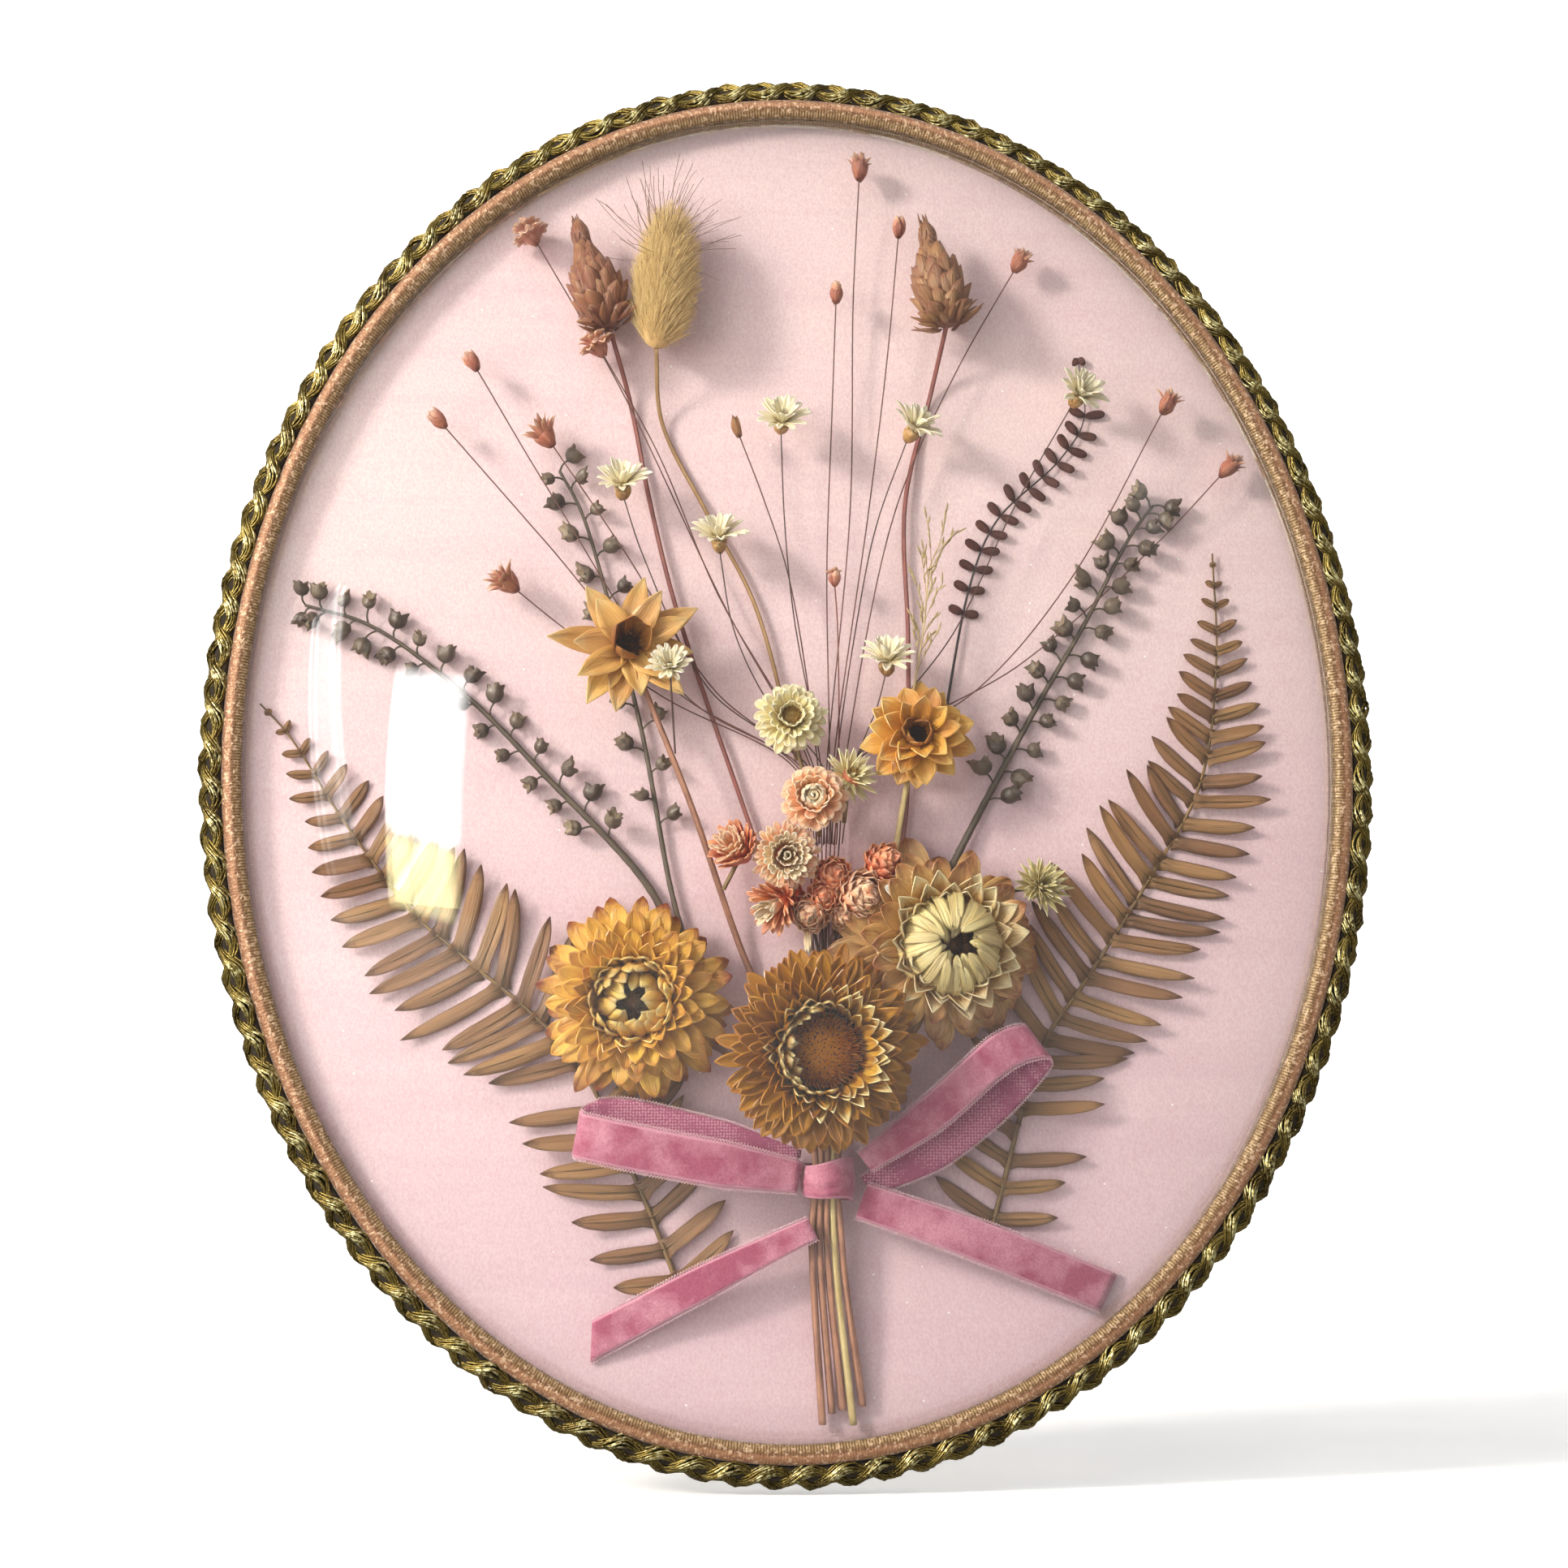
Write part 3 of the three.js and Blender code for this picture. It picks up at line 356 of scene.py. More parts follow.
def finished(name, heap, finishes, replaces=()):
    """Makes the heap one mesh in metres, sets it on the frame's body and hides the CAD parts that it stands
    for.
    """
    mesh = bpy.data.meshes.new(name)
    points = np.concatenate(heap.points) * MM
    corners = np.concatenate([f.ravel() for f in heap.faces])
    starts = np.concatenate([np.full(len(f), f.shape[1]) for f in heap.faces])
    starts = np.concatenate([[0], np.cumsum(starts)[:-1]])
    mesh.vertices.add(len(points))
    mesh.vertices.foreach_set("co", points.ravel())
    mesh.loops.add(len(corners))
    mesh.loops.foreach_set("vertex_index", corners.astype(np.int32))
    mesh.polygons.add(len(starts))
    mesh.polygons.foreach_set("loop_start", starts.astype(np.int32))
    mesh.polygons.foreach_set("use_smooth", np.concatenate(heap.smooth))
    mesh.polygons.foreach_set("material_index", np.concatenate(heap.slots).astype(np.int32))
    marks = mesh.attributes.new("marks", "FLOAT_COLOR", "POINT")
    marks.data.foreach_set("color", np.concatenate(heap.marks).ravel())
    mesh.update(calc_edges=True)
    if mesh.validate():
        raise RuntimeError(name + " has a broken face")
    for finish in finishes:
        mesh.materials.append(finish)
    return dressed(bpy.data.objects.new(name, mesh), replaces)


def dressed(piece, replaces=()):
    bpy.context.scene.collection.objects.link(piece)
    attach(piece, "frame")
    if replaces:
        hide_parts(*replaces)
    return piece


def coat_node(name, material):
    """Gives a CAD node its finish."""
    node_mesh = frame["nodes"][name].data
    node_mesh.materials.clear()
    node_mesh.materials.append(material)


# Finishes

MATH, RANGE, RAMP, MIX = "ShaderNodeMath", "ShaderNodeMapRange", "ShaderNodeValToRGB", "ShaderNodeMix"
PETAL_GLOW = 0.14  # share of the light that shines through a petal


def add(tree, kind, settings=None, *values, out=0):
    """Adds a node, sets its own properties, sets or links its inputs, and gives one of its outputs.
    settings is a dictionary or an operation. values are the inputs in order, or one dictionary."""
    made = tree.nodes.new(kind)
    for key, value in ({"operation": settings} if isinstance(settings, str) else settings or {}).items():
        if key != "stops":
            setattr(made, key, value)
            continue
        stops = made.color_ramp.elements
        while len(stops) < len(value):
            stops.new(0.5)
        for stop, (place, shade) in zip(stops, value):
            stop.position, stop.color = place, colour(shade)
    by_name = values and isinstance(values[0], dict)
    for key, value in (values[0] if by_name else dict(enumerate(values))).items():
        if isinstance(value, bpy.types.NodeSocket):
            tree.links.new(value, made.inputs[key])
        else:
            made.inputs[key].default_value = value
    return made.outputs[out]


def finish(name, roughness, base, metallic=0.0, **more):
    """A material with one Principled shader. more sets its other sockets."""
    material = bpy.data.materials.new(name)
    material.use_nodes = True
    shader = material.node_tree.nodes["Principled BSDF"]
    for key, value in {"Base Color": base, "Roughness": roughness, "Metallic": metallic, **more}.items():
        shader.inputs[key.replace("_", " ")].default_value = value
    return material, material.node_tree


def coated(material, base, gloss, relief):
    """Links a finish's colour, its uneven gloss and its relief. gloss is (pattern, low, high,
    roughness where it is low, roughness where it is high), and relief is (pattern, metres)."""
    tree = material.node_tree
    shader = tree.nodes["Principled BSDF"].inputs
    tree.links.new(base, shader["Base Color"])
    tree.links.new(add(tree, RANGE, None, *gloss), shader["Roughness"])
    bump = add(tree, "ShaderNodeBump", None, {"Height": relief[0], "Distance": relief[1]})
    tree.links.new(bump, shader["Normal"])
    return material


def tinted(tree, base, pattern, reach, shade, blend="MULTIPLY"):
    """Lays a shade on a base where a pattern is strong. reach is (low, high, most)."""
    low, high, most = reach
    amount = add(tree, RANGE, None, pattern, low, high, 0.0, most)
    # a colour Mix node has its factor, first and second colour at these sockets
    return add(tree, MIX, {"data_type": "RGBA", "blend_type": blend}, {0: amount, 6: base, 7: shade}, out=2)


def object_noise(tree, scale, detail, squeeze=(1.0, 1.0, 1.0), seed=0.0):
    """Noise in the piece's own metres: scale is features to a metre."""
    place = add(tree, "ShaderNodeTexCoord", out="Object")
    place = add(tree, "ShaderNodeMapping", None, {"Vector": place, "Scale": squeeze,
                                                  "Location": (seed, seed, 0)})
    return add(tree, "ShaderNodeTexNoise", None, {"Vector": place, "Scale": scale, "Detail": detail,
                                                  "Roughness": 0.6}, out="Fac")


def read_marks(tree):
    marks = add(tree, "ShaderNodeAttribute", {"attribute_name": "marks"}, out="Color")
    parts = add(tree, "ShaderNodeSeparateColor", None, {"Color": marks}).node.outputs
    return parts["Red"], parts["Green"], parts["Blue"], marks.node.outputs["Alpha"]


def streaks(tree, marks, stretch, detail):
    """Noise drawn out along a petal or a stalk. marks are across, along and tone."""
    line = add(tree, "ShaderNodeCombineXYZ", None, *marks)
    line = add(tree, "ShaderNodeVectorMath", "MULTIPLY", line, stretch)
    return add(tree, "ShaderNodeTexNoise", None, {"Vector": line, "Scale": 1.0, "Detail": detail}, out="Fac")


def off_middle(tree, across):
    """How far from the middle of its petal or ribbon a point lies, 0 to 0.5."""
    return add(tree, MATH, "ABSOLUTE", add(tree, MATH, "SUBTRACT", across, 0.5))


def papery(name, root, body, tip, roughness, veins, vein_depth, tone_range=(0.8, 1.16), margin=None,
           sheen=0.0, tip_from=0.72):
    """Dried petals: stiff and papery, with fine lines along them, a deeper root, tips that browned
    as they dried, and no two petals quite alike."""
    material, tree = finish(name, roughness, colour(body), Sheen_Weight=sheen, Specular_IOR_Level=0.45,
                            Subsurface_Weight=PETAL_GLOW, Subsurface_Scale=0.002,
                            Subsurface_Radius=(1.0, 0.6, 0.25))
    along, across, tone, _ = read_marks(tree)
    patchy = add(tree, MATH, "MULTIPLY_ADD", object_noise(tree, 900, 2.0), 0.24, -0.12)
    stops = ((0.0, root), (0.32, body), (tip_from, body), (0.98, tip))
    shade = add(tree, RAMP, {"stops": stops}, add(tree, MATH, "ADD", along, patchy))
    vein = streaks(tree, (across, along, tone), (veins, 1.6, 40.0), 3.0)
    if margin:
        shade = tinted(tree, shade, off_middle(tree, across), (0.3, 0.5, 0.75), colour(margin), "MIX")
    shade = tinted(tree, shade, vein, (0.35, 0.75, vein_depth), (0.62, 0.48, 0.32, 1))
    value = add(tree, RANGE, None, tone, 0.0, 1.0, *tone_range)
    hue = add(tree, RANGE, None, tone, 0.0, 1.0, 0.492, 0.508)
    own = add(tree, "ShaderNodeHueSaturation", None, {"Hue": hue, "Value": value, "Color": shade})
    return coated(material, own, (vein, 0.3, 0.8, roughness - 0.08, roughness + 0.16), (vein, 0.00028))


def stalky(name, shade, dark, roughness, grain=240.0):
    """Dried stalks: ribbed along their length, blotched where the bark wore."""
    material, tree = finish(name, roughness, colour(shade))
    along, across, tone, _ = read_marks(tree)
    rib = streaks(tree, (across, along, tone), (9.0, 7.0, 23.0), 4.0)
    blotch = object_noise(tree, grain, 4.0)
    wear = add(tree, MATH, "MULTIPLY", rib, blotch)
    base = tinted(tree, colour(dark), wear, (0.12, 0.42, 1.0), colour(shade), "MIX")
    return coated(material, base, (blotch, 0.2, 0.8, roughness - 0.1, roughness + 0.15), (rib, 0.00015))


def grained(name, shade, dark, light, scale, roughness, relief, metallic=0.0, squeeze=(1.0, 1.0, 1.0),
            **more):
    """Boards, paper, tape and plain metal: a base with darker and lighter grain and its relief."""
    material, tree = finish(name, roughness, colour(shade), metallic, **more)
    fine = object_noise(tree, scale, 4.0, squeeze)
    broad = object_noise(tree, scale * 0.07, 2.0, squeeze, 3.0)
    base = add(tree, RAMP, {"stops": ((0.3, dark), (0.5, shade), (0.72, light))}, fine)
    base = tinted(tree, base, broad, (0.4, 0.75, 0.35), colour(dark))
    return coated(material, base, (fine, 0.3, 0.7, roughness - 0.07, roughness + 0.1), (fine, relief))


def satin_cloth():
    """Acetate satin, woven: long floats give a soft gloss across the picture, a fine grain close
    to, faint watered bands where it was stretched, and specks of dust. It is painted darker and
    mauver towards the bottom, as shade. The thread is about 0.1 mm, drawn at 0.6 mm so that it shows."""
    base = colours("satin")
    material, tree = finish("satin_acetate_woven", 0.5, base, Sheen_Weight=0.25, Sheen_Roughness=0.4,
                            Specular_IOR_Level=0.4, Anisotropic=0.3)
    grain = object_noise(tree, 1900, 3.0, (1.5, 1.0, 1.0))
    band = object_noise(tree, 60, 3.0, (0.3, 1.0, 3.6), 1.7)
    cloud = object_noise(tree, 14, 2.0, seed=5.0)
    place = add(tree, "ShaderNodeTexCoord", out="Object")
    # painted shade: the last tint colours the satin darker and mauver from a little above the middle down to
    # the bottom
    height = add(tree, "ShaderNodeSeparateXYZ", None, {"Vector": place}, out="Z")
    for pattern, reach, shade in ((grain, (0.36, 0.66, 0.7), (0.84, 0.72, 0.77, 1)),
                                  (band, (0.45, 0.65, 0.22), (0.86, 0.76, 0.82, 1)),
                                  (cloud, (0.3, 0.7, 0.5), (0.95, 0.87, 0.94, 1)),
                                  (height, (0.05, -0.1, 1.0), (0.84, 0.78, 0.85, 1))):
        base = tinted(tree, base, pattern, reach, shade)
    speck = add(tree, "ShaderNodeTexVoronoi", None, {"Vector": place, "Scale": 210.0, "Randomness": 1.0})
    base = tinted(tree, base, speck, (0.045, 0.035, 1.0), colour("#FBF4F2"), "MIX")
    both = add(tree, MATH, "MULTIPLY_ADD", band, 2.0, grain)
    return coated(material, base, (grain, 0.3, 0.7, 0.38, 0.58), (both, 0.00006))


def dome_glass():
    """Pressed convex glass: clear and hard, a sharp mirror of the windows on its shoulders, with
    the faintest waviness from the mould. Lamp rays pass it, so that what it covers is lit."""
    material, tree = finish("pressed_convex_glass", 0.0, (0.995, 1.0, 0.998, 1), Transmission_Weight=1.0,
                            IOR=1.5)
    shader = tree.nodes["Principled BSDF"]
    bump = add(tree, "ShaderNodeBump", None, {"Height": object_noise(tree, 16, 1.0), "Distance": 0.0004,
                                              "Strength": 0.12})
    tree.links.new(bump, shader.inputs["Normal"])
    shadow = add(tree, "ShaderNodeLightPath", out="Is Shadow Ray")
    clear = add(tree, "ShaderNodeBsdfTransparent", None, {"Color": (0.93, 0.935, 0.93, 1)})
    both = add(tree, "ShaderNodeMixShader", None, shadow, shader.outputs["BSDF"], clear)
    tree.links.new(both, tree.nodes["Material Output"].inputs["Surface"])
    return material


def gilt_thread():
    """Gimp braid wound with tarnished metal foil: olive, dark in its folds under the light and in random
    tarnished patches, with a painted highlight: small light gold glints where a strand turns over the front
    edge."""
    shade = colours("plait")
    material, tree = finish("gimp_braid_gilt_thread", 0.34, shade, 0.8)
    twist, worn = object_noise(tree, 2600, 3.0), object_noise(tree, 170, 2.0, seed=4.0)
    base = tinted(tree, colour("#4A3C1C"), worn, (0.38, 0.62, 1.0), shade, "MIX")
    base = tinted(tree, base, twist, (0.46, 0.66, 0.8), colour("#B7A05C"), "MIX")
    gleam = add(tree, "ShaderNodeAttribute", {"attribute_name": "gleam"}, out="Fac")
    spots = add(tree, RANGE, None, object_noise(tree, 1300, 2.0, seed=8.0), 0.4, 0.6)
    painted_glint = add(tree, MATH, "MULTIPLY", gleam, spots)
    # painted highlight: light gold laid on where a strand turns over the front edge
    base = tinted(tree, base, painted_glint, (0.2, 0.8, 0.95), colour("#F2E8B0"), "MIX")
    return coated(material, base, (twist, 0.3, 0.7, 0.26, 0.46), (twist, 0.0001))


def gold_silk():
    """Silk-wound gimp ribbon, peach gold: each rib a turn of silk with a soft sheen. The outer half
    is pinker and closely wound, and inside a darker line the ribs stand apart, light on dark: the
    grooves between the ribs are coloured darker, most of all on the inner half, as painted shade."""
    shade = colours("band")
    material, tree = finish("wound_silk_ribbon", 0.45, shade, 0.2, Sheen_Weight=0.3)
    across, groove = (add(tree, "ShaderNodeAttribute", {"attribute_name": name}, out="Fac")
                      for name in ("across", "groove"))
    rib = add(tree, RAMP, {"stops": (
        (0.0, "#8E6448"), (0.22, shade), (0.42, "#C0906A"), (0.55, "#946A44"), (0.64, "#A67E50"),
        (0.8, "#D2B080"), (0.92, "#BE9C68"), (1.0, "#8E6C42"),
    )}, across)
    # painted shade: the groove between two ribs, every other step, takes these darker colours
    shaded_groove = add(tree, RAMP, {"stops": (
        (0.0, "#835A40"), (0.4, "#A87A58"), (0.52, "#785236"), (0.62, "#5E4426"), (1.0, "#5A4428"),
    )}, across)
    base = add(tree, MIX, {"data_type": "RGBA"}, {0: groove, 6: rib, 7: shaded_groove}, out=2)
    worn, pale = object_noise(tree, 1100, 3.0), object_noise(tree, 1500, 1.0, seed=6.0)
    base = tinted(tree, base, worn, (0.42, 0.62, 0.8), (0.7, 0.58, 0.5, 1))
    base = tinted(tree, base, pale, (0.56, 0.66, 0.6), colour("#EBC9A8"), "MIX")
    return coated(material, base, (worn, 0.3, 0.7, 0.34, 0.56), (object_noise(tree, 1900, 2.0), 0.00025))


def velvet_pile():
    """Rayon velvet, woven with a cut pile: deep in the folds and pale where the pile turns its side
    to the light, with lighter patches, partly rubbed pile and partly painted sheen, a painted highlight
    in a band along each edge by the selvedge, and a woven back."""
    shade = colours("velvet")
    material, tree = finish("velvet_cut_pile", 0.85, shade, Sheen_Weight=0.5, Sheen_Roughness=0.35,
                            Specular_IOR_Level=0.2, Sheen_Tint=colour("#F0B9C8"))
    _, across, _, side = read_marks(tree)
    pile, rubbed_and_sheen = object_noise(tree, 2800, 3.0), object_noise(tree, 130, 3.0, seed=2.0)
    # lighter patches: partly rubbed pile, partly painted sheen
    base = tinted(tree, shade, rubbed_and_sheen, (0.42, 0.66, 0.75), colour("#DDA0B2"), "MIX")
    base = tinted(tree, base, pile, (0.35, 0.7, 0.8), (0.66, 0.5, 0.58, 1))
    # painted highlight: a lighter band along each edge of the ribbon
    base = tinted(tree, base, off_middle(tree, across), (0.425, 0.45, 0.7), colour("#D79BAF"), "MIX")
    place = add(tree, "ShaderNodeTexCoord", out="Object")
    weave = add(tree, "ShaderNodeTexVoronoi", None, {"Vector": place, "Scale": 1900.0, "Randomness": 0.25})
    woven = add(tree, RAMP, {"stops": ((0.1, "#D9A0B2"), (0.5, "#A04F70"))}, weave)
    base = add(tree, MIX, {"data_type": "RGBA"}, {0: side, 6: woven, 7: base}, out=2)
    return coated(material, base, (pile, 0.3, 0.7, 0.75, 0.95), (pile, 0.00015))


# Node trees for what repeats


def new_tree(name, **inputs):
    """A Geometry Nodes tree with named inputs and their defaults. With it come its inputs, and
    add() for any node and for a Math node of this tree."""
    kinds = {int: "Int", float: "Float", tuple: "Vector"}
    tree = bpy.data.node_groups.new(name, "GeometryNodeTree")
    tree.interface.new_socket("Geometry", in_out="INPUT", socket_type="NodeSocketGeometry")
    for label, default in inputs.items():
        socket = tree.interface.new_socket(
            label.replace("_", " "), in_out="INPUT", socket_type="NodeSocket" + kinds[type(default)],
        )
        socket.default_value = default
    tree.interface.new_socket("Geometry", in_out="OUTPUT", socket_type="NodeSocketGeometry")
    return tree, tree.nodes.new("NodeGroupInput").outputs, partial(add, tree), partial(add, tree, MATH)


def threaded(tree, curve, sides, radius, caps=True):
    """A thread along a curve."""
    ring = add(tree, "GeometryNodeCurvePrimitiveCircle", None, {"Resolution": sides, "Radius": radius})
    return add(tree, "GeometryNodeCurveToMesh", None, {"Curve": curve, "Profile Curve": ring,
                                                       "Fill Caps": caps})


def ended(tree, geometry, material):
    """Ends a tree in Realize Instances and Set Material."""
    real = add(tree, "GeometryNodeRealizeInstances", None, {"Geometry": geometry})
    coat = add(tree, "GeometryNodeSetMaterial", None, {"Geometry": real, "Material": material})
    tree.links.new(coat, tree.nodes.new("NodeGroupOutput").inputs[0])
    return tree


def grown(name, tree, host, settings, material):
    """Runs a tree on a host mesh and returns the result as a plain mesh object."""
    carrier = bpy.data.objects.new(name + "_host", host)
    bpy.context.scene.collection.objects.link(carrier)
    modifier = carrier.modifiers.new("grow", "NODES")
    modifier.node_group = tree
    for item in tree.interface.items_tree:
        if item.in_out == "INPUT" and item.name in settings:
            modifier[item.identifier] = settings[item.name]
    graph = bpy.context.evaluated_depsgraph_get()
    ready = carrier.evaluated_get(graph)
    mesh = bpy.data.meshes.new_from_object(ready, preserve_all_data_layers=True, depsgraph=graph)
    carrier.modifiers.remove(modifier)
    bpy.data.objects.remove(carrier)
    if not len(mesh.polygons):
        raise RuntimeError(name + " came out empty")
    mesh.name = name
    if not mesh.materials:
        mesh.materials.append(material)
    mesh.polygons.foreach_set("use_smooth", np.ones(len(mesh.polygons), bool))
    return bpy.data.objects.new(name, mesh)


def line_mesh(name, runs, closed=False, out=None):
    """Host mesh of bare edges along runs of points in millimetres. out is a direction for each point."""
    points, edges = [], []
    for run in runs:
        first, n = len(points), len(run)
        points += [tuple(p * MM) for p in run]
        edges += [(first + i, first + i + 1) for i in range(n - 1)]
        if closed:
            edges.append((first + n - 1, first))
    mesh = bpy.data.meshes.new(name)
    mesh.from_pydata(points, edges, [])
    if out is not None:
        attribute = mesh.attributes.new("out", "FLOAT_VECTOR", "POINT")
        attribute.data.foreach_set("vector", np.concatenate(out).astype(np.float32).ravel())
    return mesh


def oval(offset, height, steps):
    """Evenly spaced points round the boards' oval, moved out by an offset, in the plane x, up."""
    t = np.linspace(0, 2 * np.pi, 4001)
    flat = np.stack([BOARD[0] * np.cos(t), BOARD[1] * np.sin(t)], -1)
    normal = np.stack([BOARD[1] * np.cos(t), BOARD[0] * np.sin(t)], -1)
    normal /= np.linalg.norm(normal, axis=1, keepdims=True)
    line = flat + normal * offset
    run = np.concatenate([[0], np.cumsum(np.linalg.norm(np.diff(line, axis=0), axis=1))])
    even = np.linspace(0, run[-1], steps, endpoint=False)
    x, z, nx, nz = (np.interp(even, run, col) for col in (line[:, 0], line[:, 1], normal[:, 0], normal[:, 1]))
    return np.stack([x, np.full(steps, -height), z], -1), np.stack([nx, np.zeros(steps), nz], -1)


def plait_tree(material):
    """Three flat bundles of threads plaited round the oval: they cross from side to side of a band
    that is rolled from the rim's side over its front edge."""
    tree, given, node, calc = new_tree(
        "plaited_braid",
        Turns=37, Strands=3, Threads=9, Steps=20, Thread_radius=0.00023, Thread_pitch=0.00041,
        Roll_radius=0.003, Roll_middle=0.5, Roll_reach=1.1, Depth=0.00042,
    )
    curve = node("GeometryNodeMeshToCurve", None, {"Mesh": given["Geometry"]})
    steps = calc("MULTIPLY", given["Turns"], given["Steps"])
    even = node("GeometryNodeResampleCurve", None, {"Curve": curve, "Count": steps})
    threads = calc("MULTIPLY", given["Strands"], given["Threads"])
    copies = node("GeometryNodeDuplicateElements", {"domain": "SPLINE"},
                  {"Geometry": even, "Amount": threads})
    number = copies.node.outputs["Duplicate Index"]
    strand = calc("FLOOR", calc("DIVIDE", number, given["Threads"]))
    middle = calc("MULTIPLY", calc("SUBTRACT", given["Threads"], 1.0), 0.5)
    thread = calc("SUBTRACT", calc("MODULO", number, given["Threads"]), middle)
    turn = calc("MULTIPLY", node("GeometryNodeSplineParameter", out="Factor"), given["Turns"])
    turn = calc("ADD", turn, calc("DIVIDE", strand, given["Strands"]))
    angle = calc("MULTIPLY", turn, 2 * math.pi)
    sway, over = calc("SINE", angle), calc("SINE", calc("MULTIPLY", angle, 2.0))
    # each thread strays its own way, eight times in a turn, by up to about 0.65 mm
    spread = node("ShaderNodeCombineXYZ", None, calc("MULTIPLY", turn, 8.0), calc("MULTIPLY", number, 7.3))
    stray = node("ShaderNodeTexNoise", {"noise_dimensions": "2D"},
                 {"Vector": spread, "Scale": 1.0, "Detail": 1.0}, out="Fac")
    loose = calc("MULTIPLY", calc("SUBTRACT", stray, 0.5), 0.0013)
    # a bundle is flat and a little crowned
    beside = calc("ADD", calc("MULTIPLY", thread, given["Thread pitch"]), loose)
    crown = calc("MULTIPLY", calc("POWER", thread, 2.0), -0.00006)
    roll = calc("MULTIPLY_ADD", sway, given["Roll reach"], given["Roll middle"])
    roll = calc("ADD", roll, calc("DIVIDE", beside, given["Roll radius"]))
    reach = calc("ADD", calc("MULTIPLY_ADD", over, given["Depth"], given["Roll radius"]), crown)
    reach = calc("ADD", reach, calc("MULTIPLY", loose, 0.6))
    out = calc("MULTIPLY", calc("COSINE", roll), reach)
    front = calc("MULTIPLY", calc("MULTIPLY", calc("SINE", roll), reach), -1.0)
    outward = node("GeometryNodeInputNamedAttribute", {"data_type": "FLOAT_VECTOR"}, {"Name": "out"},
                   out="Attribute")
    sideways = node("ShaderNodeVectorMath", "SCALE", {"Vector": outward, "Scale": out})
    offset = node("ShaderNodeVectorMath", "ADD", sideways, node("ShaderNodeCombineXYZ", None, {"Y": front}))
    laid = node("GeometryNodeSetPosition", None, {"Geometry": copies, "Offset": offset})
    # painted highlight: a strand is marked to be coloured light gold where it is near the front edge and lies
    # on top
    gleam = calc("MULTIPLY", node(RANGE, None, sway, 0.35, 0.85), node(RANGE, None, over, -0.5, 0.6))
    stored = node("GeometryNodeStoreNamedAttribute", {"data_type": "FLOAT", "domain": "POINT"},
                  {"Geometry": laid, "Name": "gleam", "Value": gleam})
    return ended(tree, threaded(tree, stored, 4, given["Thread radius"], False), material)


def band_tree(material):
    """A ribbon wound with ribs: a rounded section run round the oval, higher at every other step."""
    tree, given, node, calc = new_tree(
        "wound_ribbon", Ribs=1200, Rib_depth=0.1, Width=0.0029, Height=0.0014,
    )
    curve = node("GeometryNodeMeshToCurve", None, {"Mesh": given["Geometry"]})
    even = node("GeometryNodeResampleCurve", None, {"Curve": curve,
                                                    "Count": calc("MULTIPLY", given["Ribs"], 2)})
    flat = node("GeometryNodeSetCurveNormal", {"mode": "Z_UP"}, {"Curve": even})
    odd = calc("MODULO", node("GeometryNodeInputIndex"), 2.0)
    girth = calc("SUBTRACT", 1.0, calc("MULTIPLY", odd, given["Rib depth"]))
    ribbed = node("GeometryNodeSetCurveRadius", None, {"Curve": flat, "Radius": girth})
    section = node("GeometryNodeCurvePrimitiveCircle", None, {"Resolution": 12, "Radius": 0.5})
    circle = calc("MULTIPLY", node("GeometryNodeSplineParameter", out="Factor"), 2 * math.pi)
    half_turn = calc("MULTIPLY_ADD", calc("COSINE", circle), -0.5, 0.5)
    grooved, named = (node("GeometryNodeStoreNamedAttribute", {"data_type": "FLOAT", "domain": "POINT"},
                           {"Geometry": geometry, "Name": name, "Value": value})
                      for geometry, name, value in ((ribbed, "groove", odd), (section, "across", half_turn)))
    shape = node("ShaderNodeCombineXYZ", None, given["Width"], given["Height"], 1.0)
    pressed = node("GeometryNodeTransform", None, {"Geometry": named, "Scale": shape})
    skinned = node("GeometryNodeCurveToMesh", None, {"Curve": grooved, "Profile Curve": pressed})
    return ended(tree, skinned, material)


def picot_tree(material):
    """The selvedge of the velvet: a thread that loops out and in along the ribbon's edge."""
    tree, given, node, calc = new_tree(
        "picot_selvedge", Pitch=0.00078, Reach=0.0004, Thread_radius=0.00011,
    )
    curve = node("GeometryNodeMeshToCurve", None, {"Mesh": given["Geometry"]})
    even = node("GeometryNodeResampleCurve", {"mode": "LENGTH"},
                {"Curve": curve, "Length": calc("MULTIPLY", given["Pitch"], 0.25)})
    wave = calc("SINE", calc("MULTIPLY", node("GeometryNodeInputIndex"), math.pi / 2))
    reach = calc("MULTIPLY", calc("MULTIPLY_ADD", wave, 0.5, 0.5), given["Reach"])
    outward = node("GeometryNodeInputNamedAttribute", {"data_type": "FLOAT_VECTOR"}, {"Name": "out"},
                   out="Attribute")
    offset = node("ShaderNodeVectorMath", "SCALE", {"Vector": outward, "Scale": reach})
    laid = node("GeometryNodeSetPosition", None, {"Geometry": even, "Offset": offset})
    return ended(tree, threaded(tree, laid, 4, given["Thread radius"]), material)


